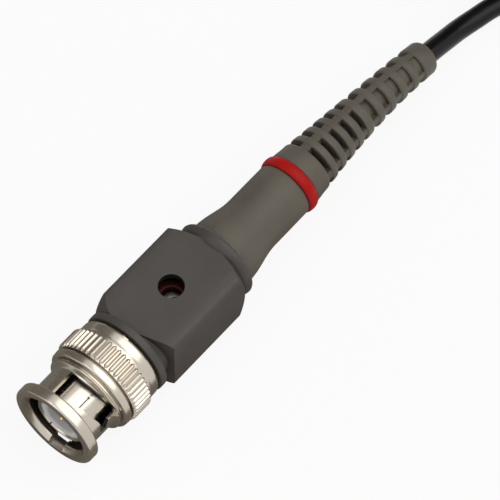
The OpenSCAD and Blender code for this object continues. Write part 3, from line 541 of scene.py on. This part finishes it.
# Edges of the cam window at each angle round the neck: angle, front edge, rear edge.
CAM_WINDOW = [(-20, 0.35, 4.8), (0, 0.35, 4.66), (9, 0.35, 4.68), (10.5, 1.15, 4.7),
              (30, 1.5, 4.85), (54, 2.05, 5.2), (68, 2.5, 5.5), (74, 2.6, 5.62),
              (78, 2.4, 5.66), (79, 2.35, 4.1), (87, 2.3, 3.5), (91, 2.5, 3.2)]


def swept_window(name):
    """Cutter for a cam: an upright rectangle drawn round the neck, step by step."""
    angle, front, rear = CAM_WINDOW[0]
    bpy.ops.mesh.primitive_plane_add(size=1, rotation=(math.pi / 2, 0, 0),
                                     location=((front + rear) / 2 * MM, 0, 6.2 * MM))
    cutter = named(name, ((rear - front) * MM, 3.8 * MM, 1))
    edit(cutter)
    bpy.ops.transform.rotate(value=-math.radians(angle), orient_axis="X",
                             center_override=(0, 0, 0))
    for (a0, f0, r0), (a1, f1, r1) in zip(CAM_WINDOW, CAM_WINDOW[1:]):
        steps = math.ceil((a1 - a0) / 4)
        for k in range(steps):
            t0, t1 = k / steps, (k + 1) / steps
            was_f, was_r = f0 + (f1 - f0) * t0, r0 + (r1 - r0) * t0
            new_f, new_r = f0 + (f1 - f0) * t1, r0 + (r1 - r0) * t1
            bpy.ops.mesh.extrude_region_move()
            bpy.ops.transform.rotate(value=-math.radians((a1 - a0) / steps),
                                     orient_axis="X", center_override=(0, 0, 0))
            bpy.ops.transform.resize(value=((new_r - new_f) / (was_r - was_f), 1, 1),
                                     center_override=(was_f * MM, 0, 0))
            bpy.ops.transform.translate(value=((new_f - was_f) * MM, 0, 0))
    leave()
    return cutter


def knurl_tooth():
    """One tooth of the knurl: a ridge with a rounded crest and pointed ends."""
    half_pitch = math.pi * ROOT_R / KNURL_TEETH
    tooth = block("knurl", (KNURL_X + 0.42, -half_pitch, ROOT_R - 0.12),
                  (KNURL_END_X - 0.35, half_pitch, KNURL_R))
    edit(tooth)
    pick(tooth, lambda centre, normal: normal.z > 0.9)
    bpy.ops.transform.resize(value=(1, 0.26, 1))
    for side, reach in ((-1, 0.42), (1, 0.35)):
        pick(tooth, lambda centre, normal: normal.x * side > 0.9)
        bpy.ops.mesh.extrude_region_move(
            TRANSFORM_OT_translate={"value": (side * reach * MM, 0, 0)})
        bpy.ops.transform.resize(value=(1, 0.3, 0.3), center_override=(
            0, 0, (ROOT_R - 0.12) * MM))
    leave()
    soften(tooth, 0.055, 20)
    return tooth


def make_coupling_nut():
    outline = [(-0.6, NUT_BORE_R), (-0.9, 5.1), (-1.4, 5.6), (-1.4, NUT_RING_R - 0.28),
               (-1.3, NUT_RING_R - 0.02), (-1.05, NUT_RING_R + 0.08), (0.2, NUT_RING_R + 0.08),
               (0.38, NUT_RING_R - 0.08), (0.5, NUT_RING_R - 0.55), (0.58, NUT_NECK_R + 0.2),
               (0.8, NUT_NECK_R), (4.7, NUT_NECK_R), (4.9, NUT_NECK_R + 0.12),
               (5.3, 6.3), (5.4, 6.36), (5.48, 6.3), (5.54, 5.98), (5.92, 5.98), (6.0, 6.6),
               (6.2, 6.9), (7.1, 6.97), (7.24, 6.86), (7.3, 6.2), (7.56, 6.2),
               (7.6, ROOT_R - 0.06), (KNURL_X + 0.08, ROOT_R), (KNURL_END_X + 0.1, ROOT_R),
               (11.5, ROOT_R - 0.05), (11.75, ROOT_R - 0.12), (12.85, ROOT_R - 0.16),
               (NUT_REAR_X, ROOT_R - 0.45), (NUT_REAR_X, CAVITY_R),
               (SNAP_X + SNAP_T + 0.05, CAVITY_R), (SNAP_X + SNAP_T + 0.05, CAVITY_R + 0.4),
               (SNAP_X - 0.05, CAVITY_R + 0.4), (SNAP_X - 0.05, CAVITY_R),
               (8.6, CAVITY_R), (8.6, NUT_BORE_R)]
    nut = turned("bayonet_nut", eased(outline, 0.14, closed=True), 144, closed=True)
    cutters = []
    for half in (0, 180):
        window = swept_window("cam_window")
        swing(window, half)
        groove = block("entry", (-2.2, -1.22, 4.3), (3.2, 1.22, 5.72))
        swing(groove, half - 2)
        cutters += [window, groove]
    for k in range(4):
        notch = block("notch", (NUT_REAR_X - 0.55, -0.45, CAVITY_R + 0.3),
                      (NUT_REAR_X + 0.2, 0.45, KNURL_R))
        swing(notch, 8 + 90 * k)
        cutters.append(notch)
    for cutter in cutters:
        combine(nut, cutter)
    soften(nut, 0.07, 55, 2)
    tooth = knurl_tooth()
    teeth = []
    for k in range(KNURL_TEETH):
        twin = copy(tooth, "knurl")
        swing(twin, 360 * k / KNURL_TEETH)
        teeth.append(twin)
    bpy.data.objects.remove(tooth)
    nut = place(join([nut] + teeth), "nut", "nickel", "coupling_nut", angle=30)
    # Painted shade: the bore and the cam windows' walls get a dark dull metal, for the shade
    # inside the nut.
    shade(nut, "bore_painted_shade", lambda centre, normal: 0.1 < centre.x < 12.5
          and math.hypot(centre.y, centre.z) < CAVITY_R + 0.42
          and (centre.y * normal.y + centre.z * normal.z < -0.3 or centre.x > 0.6
               and math.hypot(centre.y, centre.z) < NUT_NECK_R - 0.1))
    return nut


def make_outer_contact():
    outline = [(0.3, 3.55), (0.02, 3.78), (0.02, 3.98), (0.1, 4.05), (0.9, 4.05),
               (6.6, 4.03), (6.6, 4.3), (12, 4.3), (12, 3.55)]
    contact = turned("slotted_contact", eased(outline, 0.06, closed=True), 144, closed=True)
    for k in range(4):
        slit = block("slit", (-0.3, -0.1, 3.3), (3.93, 0.1, 4.4))
        swing(slit, 30 + 90 * k)
        dot = post("dot", 3.93, 0, 3.3, 4.4, 0.2, 24)
        swing(dot, 30 + 90 * k)
        combine(contact, slit)
        combine(contact, dot)
    return place(contact, "probe", "nickel", "outer_contact", angle=30)


def make_contact_insulator():
    outline = [(0.18, 2.62), (0.18, 3.36), (0.3, 3.5), (12, 3.5), (12, 0.98),
               (5.15, 0.98), (5.15, 2.3), (1.1, 2.45), (0.32, 2.47)]
    return place(turned("cup_insulator", eased(outline, 0.09, closed=True), 96, closed=True),
                 "probe", "white_insulator", "contact_insulator")


def make_centre_pin():
    outline = [(0.15, 0), (0.17, 0.1), (0.3, 0.22), (0.75, 0.5), (1.2, 0.675),
               (5.1, 0.675), (5.1, 0.925), (16.3, 0.925), (16.5, 0.35), (19.5, 0.35),
               (19.5, 0)]
    return place(turned("gold_pin", eased(outline, 0.05), 48), "probe", "gold", "centre_pin")


# ---------- compensation box ----------

BOX_X, BOX_END_X, BOX_REAR_X, COLLAR_X = 16.65, 30.25, 34.3, 13.6
BOX_W, BOX_H, FRONT_COLLAR_R, COLLAR_R = 13.1, 11.2, 6.85, 6.4
FLANGE_X, NECK_IN_R, FACET_Y = 14.75, 5.58, 0.4
# Outline of the rounded front shoulder: station and radius.
FRONT_DOME = [(14.2, 5.7), (14.75, 6.4), (15.0, 6.75), (15.5, 7.3), (16.05, 7.78),
              (16.7, 8.22), (17.4, 8.6), (18.4, 9.05)]
SHOULDER_R, SHOULDER_X = 13.0, 20.4812
REAR_COLLAR_X = SHOULDER_X + math.sqrt(SHOULDER_R ** 2 - COLLAR_R ** 2)
BAY_R, BAY_H = 5.45, 4.4
TRIMMER_X, ACCESS_R = 23.65, 1.9
# How far the broad faces have fallen at each distance from the middle.
CROWN = {-6.55: 0.36, -5.75: 0.15, -4.7: 0.03, 4.5: 0.012, 5.6: 0.05, 6.55: 0.16}


def make_box_shell():
    """A cube cut off by an upright facet in front, rounded by a dome beside the facet
    and by a ball behind, with a collar at each end."""
    shell = block("box_shell", (FLANGE_X, -BOX_W / 2, -BOX_H / 2),
                  (BOX_REAR_X + 1, BOX_W / 2, BOX_H / 2))
    edit(shell)
    # The broad faces fall off slightly toward their long edges.
    for y in CROWN:
        bpy.ops.mesh.select_all(action="SELECT")
        bpy.ops.mesh.bisect(plane_co=(0, y * MM, 0), plane_no=(0, 1, 0))
    for y, drop in CROWN.items():
        pick_edges(shell, lambda a, b: abs(a.y - y) < 0.01 and abs(b.y - y) < 0.01
                   and abs(a.z) > 5 and a.z * b.z > 0)
        bpy.ops.transform.resize(value=(1, 1, 1 - 2 * drop / BOX_H), center_override=(0, 0, 0))
    pick_edges(shell, lambda a, b: abs(a.y) > 6.5 and a.y * b.y > 0
               and a.z * b.z > 0 and abs(a.x - b.x) > 1)
    bpy.ops.mesh.bevel(offset=0.42 * MM, segments=4, affect="EDGES")
    bpy.ops.mesh.select_all(action="SELECT")
    bpy.ops.mesh.bisect(plane_co=Vector((FLANGE_X, -FACET_Y, 0)) * MM,
                        plane_no=Vector((FACET_Y - BOX_W / 2, FLANGE_X - BOX_X, 0)).normalized(),
                        use_fill=True, clear_outer=True)
    leave()
    dome = turned("dome", FRONT_DOME + [(FRONT_DOME[-1][0], 14), (FRONT_DOME[0][0], 14)], 96,
                  closed=True)
    combine(dome, block("far_half", (FLANGE_X - 2, 0, -15), (FLANGE_X + 7, 15, 15)), "INTERSECT")
    combine(shell, dome)
    # The ball behind, drawn as a turned cap wide enough ahead of the corners.
    start, end = 24.5, 50.5
    arc = [math.radians(end + (start - end) * k / 14) for k in range(15)]
    cap = turned("cap", [(FLANGE_X - 3, 0), (FLANGE_X - 3, 14), (SHOULDER_X + 5, 14)]
                 + [(SHOULDER_X + SHOULDER_R * math.cos(a), SHOULDER_R * math.sin(a))
                    for a in arc] + [(SHOULDER_X + SHOULDER_R * math.cos(arc[-1]), 0)], 96)
    combine(shell, cap, "INTERSECT")
    front = turned("front_collar", eased(
        [(COLLAR_X, 0), (COLLAR_X, FRONT_COLLAR_R), (FLANGE_X, FRONT_COLLAR_R),
         (FLANGE_X, NECK_IN_R), (BOX_X + 0.3, NECK_IN_R), (BOX_X + 0.3, 0)], 0.2), 96)
    rear = turned("rear_collar", eased(
        [(REAR_COLLAR_X - 0.3, 0), (REAR_COLLAR_X - 0.3, 5.1), (REAR_COLLAR_X + 0.2, 5.85),
         (REAR_COLLAR_X + 0.6, 6.18), (REAR_COLLAR_X + 1.1, COLLAR_R - 0.04),
         (REAR_COLLAR_X + 1.4, COLLAR_R), (BOX_REAR_X - 0.95, COLLAR_R),
         (BOX_REAR_X - 0.62, COLLAR_R - 0.16), (BOX_REAR_X - 0.42, COLLAR_R - 0.55),
         (BOX_REAR_X - 0.4, 0)], 0.22), 96)
    combine(shell, front, "UNION")
    combine(shell, rear, "UNION")
    combine(shell, bar("bore", COLLAR_X - 1, 17.5, 5.25, 96))
    bay = bar("bay", 17.3, BOX_REAR_X + 1, BAY_R, 96)
    combine(bay, block("flats", (16, -10, -BAY_H), (BOX_REAR_X + 2, 10, BAY_H)), "INTERSECT")
    combine(shell, bay)
    combine(shell, post("access", TRIMMER_X, 0, 0, BOX_H, ACCESS_R, 64))
    soften(shell, 0.13, 24, 3)
    place(shell, "probe", "box_plastic", "comp_box_shell", angle=28)
    # Weighted by face area, so that the broad faces stay flat beside their soft edges.
    apply(shell, "WEIGHTED_NORMAL", keep_sharp=True)
    # Painted shade: the wall of the access hole gets a near-black finish, for the shade down the
    # deep hole.
    shade(shell, "hole_painted_shade", lambda centre, normal: 3.5 < centre.z < 5.46
          and math.hypot(centre.x - TRIMMER_X, centre.y) < ACCESS_R + 0.06
          and abs(normal.z) < 0.5)
    return shell


def make_trimmer():
    outline = [(-0.35, 0), (-0.35, 2.6), (2.6, 2.6), (2.6, 1.75), (2.45, 1.5),
               (0.45, 1.5), (0.45, 0)]
    seat = turned("trimmer_seat", eased(outline, 0.12), 64, upright=True,
                  centre=(TRIMMER_X, 0, 0))
    # Painted shade: the seat gets a darkened red, for its place deep in the access hole.
    place(seat, "probe", "red_plastic", "trimmer_body", look="trimmer_red_painted_shade")
    head = turned("trimmer_rotor", eased(
        [(0.5, 0), (0.5, 1.4), (1.65, 1.4), (1.8, 1.2), (1.85, 0)], 0.12), 64,
        upright=True, centre=(TRIMMER_X, 0, 0))
    slot = block("slot", (TRIMMER_X - 3, -0.22, 1.2), (TRIMMER_X + 3, 0.22, 4))
    swing(slot, -35, "Z", (TRIMMER_X, 0, 0))
    combine(head, slot)
    soften(head, 0.04, 50)
    # Painted shade: the screw gets darkened steel, for the shade at the bottom of the hole.
    place(head, "trimmer", "nickel", "trimmer_screw", look="dull_steel_painted_shade")


# ---------- slotted boot ----------

MARKER_X, LADDER_X, TAIL_X = 48.15, 49.95, 78.9
BEND_X, TAIL_SAG = 51.95, 3.0
BOOT_R, BELL_R, TAIL_R = 4.5, 5.45, 2.65
FINE_WINDOWS = [53.5, 55.65, 57.8, 59.95, 62.1]
COARSE_WINDOWS = [64.78, 67.46, 70.14, 72.82, 75.5]
FINE_W, COARSE_W = 0.95, 1.4
CORE_R, BORE_R = 2.1, 1.65
BOOT_SIDES = 64
WINDOW_TURN = 32


def sag(x):
    return -TAIL_SAG * max(0, (x - BEND_X) / (TAIL_X - BEND_X)) ** 2.5


def sag_slope(x):
    return -2.5 * TAIL_SAG / (TAIL_X - BEND_X) * max(0, (x - BEND_X) / (TAIL_X - BEND_X)) ** 1.5


def ladder_r(x):
    return TAIL_R + (BOOT_R - TAIL_R) * max(0, 1 - (x - LADDER_X) / (TAIL_X - LADDER_X)) ** 1.9


def bell_r(x):
    eased_share = min(1, (x - BOX_REAR_X) / 6.65)
    return BOOT_R + (BELL_R - BOOT_R) * (1 + math.cos(math.pi * eased_share)) / 2


def draw_rings(name, stations, sides, centre_of, slope_of, turn):
    """A tube along a sagging line: a ring is drawn from station to station,
    scaled to each radius and tilted to stay square to the line."""
    x, radius = stations[0]
    bpy.ops.mesh.primitive_circle_add(vertices=sides, radius=radius * MM,
                                      rotation=(0, math.pi / 2, 0))
    piece = named(name)
    edit(piece)
    bpy.ops.transform.rotate(value=-math.radians(turn), orient_axis="X",
                             center_override=(0, 0, 0))
    tilt = math.atan(slope_of(x))
    bpy.ops.transform.rotate(value=tilt, orient_axis="Y", center_override=(0, 0, 0))
    bpy.ops.transform.translate(value=Vector((x, 0, centre_of(x))) * MM)
    for new_x, new_r in stations[1:]:
        centre = Vector((new_x, 0, centre_of(new_x))) * MM
        step = centre - Vector((x, 0, centre_of(x))) * MM
        bpy.ops.mesh.extrude_region_move(TRANSFORM_OT_translate={"value": step})
        new_tilt = math.atan(slope_of(new_x))
        if abs(new_tilt - tilt) > 1e-5:
            bpy.ops.transform.rotate(value=new_tilt - tilt, orient_axis="Y",
                                     center_override=centre)
        if abs(new_r - radius) > 1e-5:
            # scaled equally all ways, because the ring is flat
            bpy.ops.transform.resize(value=(new_r / radius,) * 3, center_override=centre)
        x, radius, tilt = new_x, new_r, new_tilt
    leave()
    return piece


def open_windows(piece, windows, width, floor_r, centre_of, slope_of, outside_r):
    """Sinks four windows at each place down to the core, leaving four ribs."""
    edit(piece)
    for x in windows:
        centre = Vector((x, 0, centre_of(x)))
        along = Vector((1, 0, slope_of(x))).normalized()

        def in_window(point, normal):
            offset = point - centre
            reach = offset.dot(along)
            across = offset - reach * along
            angle = math.degrees(math.atan2(-across.y, across.z)) - WINDOW_TURN
            inside = abs((angle + 45) % 90 - 45) < 33.75
            return (abs(reach) < 0.48 * width and across.length > outside_r and inside
                    and normal.dot(across) > 0.5 * across.length)

        pick(piece, in_window)
        bpy.ops.mesh.extrude_region_move()
        wall_r = ladder_r(x) - 0.16
        bpy.ops.transform.resize(value=(1, floor_r / wall_r, floor_r / wall_r),
                                 center_override=centre * MM)
    leave()


def make_cable_boot():
    stations = [(TAIL_X, BORE_R), (42, BORE_R), (41.6, 2.25), (33.6, 2.25), (33.6, 4.3),
                (33.93, 4.3), (33.93, BELL_R - 0.1), (34.03, BELL_R - 0.01)]
    stations += [(BOX_REAR_X + k, bell_r(BOX_REAR_X + k)) for k in
                 (0.5, 1.1, 1.8, 2.5, 3.2, 3.9, 4.6, 5.3, 6, 6.65)]
    stations += [(44, BOOT_R), (MARKER_X - 0.3, BOOT_R - 0.02), (MARKER_X - 0.08, BOOT_R - 0.1),
                 (MARKER_X, BOOT_R - 0.2), (MARKER_X, 4.05), (LADDER_X, 4.05),
                 (LADDER_X, BOOT_R - 0.2), (LADDER_X + 0.12, BOOT_R - 0.06),
                 (LADDER_X + 0.4, ladder_r(LADDER_X + 0.4)), (BEND_X, ladder_r(BEND_X))]
    for x in FINE_WINDOWS + COARSE_WINDOWS:
        half = (FINE_W if x < 63 else COARSE_W) / 2
        rib_r = ladder_r(x) - 0.2
        stations += [(x - half - 0.3, ladder_r(x - half - 0.3) + 0.05),
                     (x - half - 0.1, ladder_r(x - half - 0.1) + 0.02),
                     (x - half, ladder_r(x - half) - 0.1), (x - half + 0.08, rib_r),
                     (x + half - 0.08, rib_r), (x + half, ladder_r(x + half) - 0.1),
                     (x + half + 0.1, ladder_r(x + half + 0.1) + 0.02),
                     (x + half + 0.3, ladder_r(x + half + 0.3) + 0.05)]
    stations += [(77.6, ladder_r(77.6)), (78.5, TAIL_R), (78.75, TAIL_R - 0.08),
                 (78.88, TAIL_R - 0.22), (TAIL_X, TAIL_R - 0.4), (TAIL_X, BORE_R)]
    boot = draw_rings("slotted_boot", stations, BOOT_SIDES, sag, sag_slope,
                      WINDOW_TURN - 33.75)
    open_windows(boot, FINE_WINDOWS, FINE_W, CORE_R, sag, sag_slope, 2.4)
    open_windows(boot, COARSE_WINDOWS, COARSE_W, CORE_R, sag, sag_slope, 2.2)
    place(boot, "probe", "boot_rubber", "cable_boot", angle=40)
    # Little light reaches the floors of the deeper windows.
    shade(boot, "boot_hollow", lambda centre, normal: centre.x < 63
          and math.hypot(centre.y, centre.z - sag(centre.x)) < CORE_R + 0.35
          and centre.y * normal.y + (centre.z - sag(centre.x)) * normal.z > 0)
    return boot


def make_marker_ring():
    half = 0.86
    bead = [(MARKER_X + 0.9 - half * math.cos(math.radians(a)),
             4.4 + 0.42 * math.sin(math.radians(a)) ** 0.7) for a in range(0, 181, 15)]
    ring = turned("red_marker", [(MARKER_X + 0.04, 4.1)] + bead
                  + [(LADDER_X - 0.04, 4.1)], 96, closed=True)
    return place(ring, "probe", "red_plastic", "boot_marker_ring", angle=50)
# ---------- lead ----------

HANK_X, HANK_Y, HANK_RUN, HANK_R = 108.0, 3.2, 58.0, 9.6
TURN_STEP, LOOPS = 3.65, 6
WAIST_DRAW, TIE_LIFT, RUN_SHARE = 6.2, 0.9, 0.28
BOX_ROUTE = [(81.5, 0, -3.75), (84.2, 0, -4.6), (87, -0.1, -5.3), (90, -0.6, -5.6),
             (93.2, -1.3, -5.65), (97, -2.7, -5.65), (101, -4.5, -5.65),
             (104.8, -5.9, -5.65)]
HEAD_ROUTE = [(169.5, -6.3, 16.2), (173, -6.1, 15.9), (177, -5.7, 14.7),
              (181, -5.1, 12.5), (185.5, -4.2, 9.2), (190, -3.2, 5.9),
              (194.5, -2.2, 2.9), (199, -1.2, 0.9), (203.5, -0.4, -0.1)]


def hank_point(u):
    """Point of the hank at loop u: a run out, a bend, a run back and a bend.
    It climbs a turn along the run back, and the tie draws it in at the waist."""
    turn = math.floor(u + RUN_SHARE / 2 + 1e-6)
    q = max(0.0, u + RUN_SHARE / 2 - turn)
    out = q < RUN_SHARE
    back = 0.5 <= q < 0.5 + RUN_SHARE
    if out:
        x = HANK_X + HANK_RUN * q / RUN_SHARE
    elif back:
        x = HANK_X + HANK_RUN * (1 - (q - 0.5) / RUN_SHARE)
    elif q < 0.5:
        angle = math.pi * (q - RUN_SHARE) / (0.5 - RUN_SHARE)
        x = HANK_X + HANK_RUN + HANK_R * math.sin(angle)
    else:
        angle = math.pi * (q - 0.5 - RUN_SHARE) / (0.5 - RUN_SHARE)
        x = HANK_X - HANK_R * math.sin(angle)
    waist = math.sin(math.pi * min(1, max(0, (x - HANK_X) / HANK_RUN))) ** 2
    drawn = HANK_R - WAIST_DRAW * waist
    if out or back:
        y = -drawn if out else drawn
    else:
        y = (-HANK_R if q < 0.5 else HANK_R) * math.cos(angle)
    climb = min(1, max(0, (q - 0.5) / RUN_SHARE))
    lift = TIE_LIFT * waist if out or back else 0
    z = LEAD_Z + TURN_STEP * (turn + (1 - math.cos(math.pi * climb)) / 2) + lift
    return (x, HANK_Y + y, z)


def hank_points():
    marks = []
    for half in range(2 * LOOPS + 1):
        start = half * 0.5 - RUN_SHARE / 2
        marks += [start + RUN_SHARE * k / 8 for k in range(8)]
        marks += [start + RUN_SHARE + (0.5 - RUN_SHARE) * k / 8 for k in range(8)]
    end = LOOPS + RUN_SHARE / 2
    return [hank_point(u) for u in marks if u < end - 0.001] + [hank_point(end - 1e-5)]


def lay_lead(finishes):
    """The whole lead from the boot's tail through the hank and into the hand probe."""
    inside = (76.9, 0.0, -2.47)
    path = ([inside, BOX_TAIL] + BOX_ROUTE + hank_points() + HEAD_ROUTE
            + [(HEAD_X + u, 0, HEAD_Z) for u in (0, 8, 16, 24, 32.3)])
    curve = bpy.data.curves.new("lead", "CURVE")
    curve.dimensions = "3D"
    curve.bevel_depth = LEAD_D / 2 * MM
    curve.bevel_resolution = 6
    curve.resolution_u = 4
    curve.use_fill_caps = True
    spline = curve.splines.new("BEZIER")
    spline.bezier_points.add(len(path) - 1)
    for point, place in zip(spline.bezier_points, path):
        point.co = Vector(place) * MM
        point.handle_left_type = point.handle_right_type = "AUTO"
    lead = bpy.data.objects.new("lead", curve)
    bpy.context.scene.collection.objects.link(lead)
    curve.materials.append(finishes["lead_jacket"])
    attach(lead, "probe")
    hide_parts("lead_box_stretch", "lead_hank", "lead_head_stretch")
    return lead


# ---------- tie round the hank ----------

TIE_X, TIE_W, TIE_T = 137.0, 9.0, 0.6
TIE_HALF_W, TIE_BASE, TIE_TOP, TIE_ROUND = 5.8, -6.65, 19.05, 1.5


def make_tie():
    """A woven strap: its end is drawn round the hank, with a spin at each corner,
    and laps over its start on top."""
    left, right = HANK_Y - TIE_HALF_W, HANK_Y + TIE_HALF_W
    low, high = TIE_BASE, TIE_TOP
    bpy.ops.mesh.primitive_plane_add(size=1, rotation=(0, math.pi / 2, math.pi / 2),
                                     location=Vector((TIE_X, HANK_Y + 3, high + TIE_T / 2)) * MM)
    strap = named("hank_strap", (TIE_T * MM, TIE_W * MM, 1))
    edit(strap)

    def straight(dy, dz, steps):
        for _ in range(steps):
            bpy.ops.mesh.extrude_region_move(TRANSFORM_OT_translate={
                "value": (0, dy / steps * MM, dz / steps * MM)})

    def corner(y, z, degrees=90):
        # the strap goes round from +Z through -Y, the way a turn round X goes
        for _ in range(6):
            bpy.ops.mesh.extrude_region_move()
            bpy.ops.transform.rotate(value=-math.radians(degrees / 6), orient_axis="X",
                                     center_override=(0, y * MM, z * MM))

    straight(left + TIE_ROUND - HANK_Y - 3, 0, 6)
    corner(left + TIE_ROUND, high - TIE_ROUND)
    straight(0, low + TIE_ROUND - high + TIE_ROUND, 12)
    corner(left + TIE_ROUND, low + TIE_ROUND)
    straight(right - left - 2 * TIE_ROUND, 0, 6)
    corner(right - TIE_ROUND, low + TIE_ROUND)
    straight(0, high - low - 2 * TIE_ROUND, 12)
    leave()
    apply(strap, "BEVEL", width=0.18 * MM, segments=2, limit_method="ANGLE",
          angle_limit=math.radians(50))
    # The lap: a strip from the right-hand corner over the top, past the start.
    lap = block("lap", (TIE_X - TIE_W / 2, HANK_Y - 3.6, high + TIE_T * 0.95),
                (TIE_X + TIE_W / 2, right - TIE_ROUND + 0.2, high + TIE_T * 1.9))
    edit(lap)
    pick(lap, lambda centre, normal: normal.y > 0.9)
    for _ in range(6):
        bpy.ops.mesh.extrude_region_move()
        bpy.ops.transform.rotate(value=math.radians(15), orient_axis="X", center_override=(
            0, (right - TIE_ROUND) * MM, (high - TIE_ROUND) * MM))
    leave()
    apply(lap, "BEVEL", width=0.18 * MM, segments=2, limit_method="ANGLE",
          angle_limit=math.radians(50))
    return place(join([strap, lap]), "probe", "tie_fabric", "hank_tie")


# ---------- hand probe ----------

HEAD = (HEAD_X, 0, HEAD_Z)
HEAD_BOOT_LEN, HEAD_ROOT_R = 22.0, 4.3
SHELL_X, SHELL_END_X = 24.4, 80.4
NECK_R, GRIP_R, SPIGOT_R, HOLLOW_R = 4.9, 6.2, 3.6, 4.2
WINDOW_X, WINDOW_LEN, KNOB_W, KNOB_LEN = 40.4, 8.0, 3.8, 4.8


def head_ring(name, outline, sides=96, closed=True):
    return turned(name, outline, sides, closed, centre=HEAD)


def make_head_boot():
    stations = [(0, BORE_R), (0, TAIL_R - 0.4), (0.1, TAIL_R - 0.2), (0.4, TAIL_R)]

    def boot_r(x):
        return TAIL_R + (HEAD_ROOT_R - TAIL_R) * min(1, x / HEAD_BOOT_LEN) ** 1.5

    windows = [3 + 2.4 * k for k in range(6)]
    for x in windows:
        for d, drop in ((-0.9, 0.05), (-0.7, 0.02), (-0.6, -0.1), (-0.52, -0.18),
                        (0.52, -0.18), (0.6, -0.1), (0.7, 0.02), (0.9, 0.05)):
            stations.append((x + d, boot_r(x + d) + drop))
    stations += [(18, boot_r(18)), (20, boot_r(20)), (21.6, boot_r(21.6)),
                 (21.9, HEAD_ROOT_R - 0.12), (22, HEAD_ROOT_R - 0.25), (22, 3.9),
                 (23.8, 3.9), (23.8, HEAD_ROOT_R + 0.1), (23.95, HEAD_ROOT_R + 0.3),
                 (24.25, HEAD_ROOT_R + 0.3), (24.4, HEAD_ROOT_R + 0.15), (24.4, SPIGOT_R),
                 (29.4, SPIGOT_R), (29.4, BORE_R), (0, BORE_R)]
    boot = draw_rings("probe_boot", [(HEAD_X + x, r) for x, r in stations], BOOT_SIDES,
                      lambda x: HEAD_Z, lambda x: 0, WINDOW_TURN - 33.75)
    edit(boot)
    for x in windows:
        wall_r = boot_r(x) - 0.15
        pick(boot, lambda point, normal: abs(point.x - HEAD_X - x) < 0.58
             and math.hypot(point.y, point.z - HEAD_Z) > 2.4
             and abs((math.degrees(math.atan2(-point.y, point.z - HEAD_Z))
                      - WINDOW_TURN + 45) % 90 - 45) < 33.75)
        bpy.ops.mesh.extrude_region_move()
        bpy.ops.transform.resize(value=(1, CORE_R / wall_r, CORE_R / wall_r),
                                 center_override=Vector((HEAD_X + x, 0, HEAD_Z)) * MM)
    leave()
    place(boot, "probe", "boot_rubber", "head_boot", angle=40)
    bead = [(22.9 - 0.86 * math.cos(math.radians(a)),
             4.2 + 0.34 * math.sin(math.radians(a)) ** 0.7) for a in range(0, 181, 15)]
    ring = head_ring("probe_marker", [(22.04, 3.95)] + bead + [(23.76, 3.95)])
    place(ring, "probe", "red_plastic", "head_marker_ring", angle=50)


def make_grip():
    """Both shells: one turned body, parted at the seam, each half with its own rim."""
    outside = [(SHELL_X, NECK_R - 0.4), (SHELL_X + 0.5, NECK_R)]
    outside += [(SHELL_X + 0.5 + 9 * k / 9,
                 NECK_R + (GRIP_R - NECK_R) * (1 - math.cos(math.pi * k / 9)) / 2)
                for k in range(1, 10)]
    outside += [(SHELL_X + 26, GRIP_R), (SHELL_X + 28, GRIP_R - 0.1),
                (SHELL_X + 30, GRIP_R - 0.42), (SHELL_X + 32, GRIP_R - 0.6)]
    for k in range(7):
        x = SHELL_X + 34 + 2.6 * k
        outside += [(x, GRIP_R - 0.58), (x + 0.3, GRIP_R - 0.95),
                    (x + 0.9, GRIP_R - 0.95), (x + 1.2, GRIP_R - 0.58)]
    outline = ([(SHELL_X, 3.65)] + eased(outside, 0.2) +
               [(SHELL_END_X - 0.15, GRIP_R - 0.6), (SHELL_END_X, GRIP_R - 0.75),
                (SHELL_END_X, 3.65), (SHELL_END_X - 4, 3.65), (SHELL_END_X - 4, HOLLOW_R),
                (SHELL_X + 4, HOLLOW_R), (SHELL_X + 4, 3.65)])
    body = head_ring("grip", outline)
    swing(body, 1.2, "X", HEAD)
    for name, side, node in (("grip_upper", 1, "grip_shell_upper"),
                             ("grip_lower", -1, "grip_shell_lower")):
        shell = copy(body, name)
        edit(shell)
        bpy.ops.mesh.bisect(plane_co=(0, 0, (HEAD_Z + side * 0.03) * MM), plane_no=(0, 0, 1),
                            use_fill=True, clear_inner=side > 0, clear_outer=side < 0)
        leave()
        if side > 0:
            combine(shell, block("window", (HEAD_X + WINDOW_X, -KNOB_W / 2 - 0.15, 0),
                                 (HEAD_X + WINDOW_X + WINDOW_LEN, KNOB_W / 2 + 0.15, 10)))
        soften(shell, 0.12, 50)
        place(shell, "probe", "box_plastic", node)
    bpy.data.objects.remove(body)


def make_range_switch():
    x0 = HEAD_X + WINDOW_X + 0.3
    low, top = HEAD_Z + 2.35, HEAD_Z + 6.9
    knob = block("switch_knob", (x0, -KNOB_W / 2, low), (x0 + KNOB_LEN, KNOB_W / 2, top))
    for k in (1, 2, 3):
        groove = block("groove", (x0 + KNOB_LEN * k / 4 - 0.3, -3, top - 0.35),
                       (x0 + KNOB_LEN * k / 4 + 0.3, 3, top + 1))
        combine(knob, groove)
    foot = block("foot", (x0 - 1.2, -2.5, low), (x0 + KNOB_LEN + 1.2, 2.5, low + 0.7))
    combine(knob, foot, "UNION")
    soften(knob, 0.14, 50, 3)
    place(knob, "switch", "switch_grey", "range_switch")


def make_guard():
    guard = head_ring("guard", eased(
        [(80.4, 3.65), (80.4, 6.5), (80.9, 7), (82.1, 7), (82.6, 6.5), (83.3, 5.2),
         (85.4, 4.7), (85.4, 3.65)], 0.35))
    place(guard, "probe", "box_plastic", "finger_guard")


finishes = make_finishes()
place_camera()
light_studio()
lay_floor()
hang_cards()
dress_nodes(finishes)
lead = lay_lead(finishes)
make_coupling_nut()
make_outer_contact()
make_contact_insulator()
make_centre_pin()
make_box_shell()
make_trimmer()
make_cable_boot()
make_marker_ring()
make_tie()
make_head_boot()
make_grip()
make_range_switch()
make_guard()
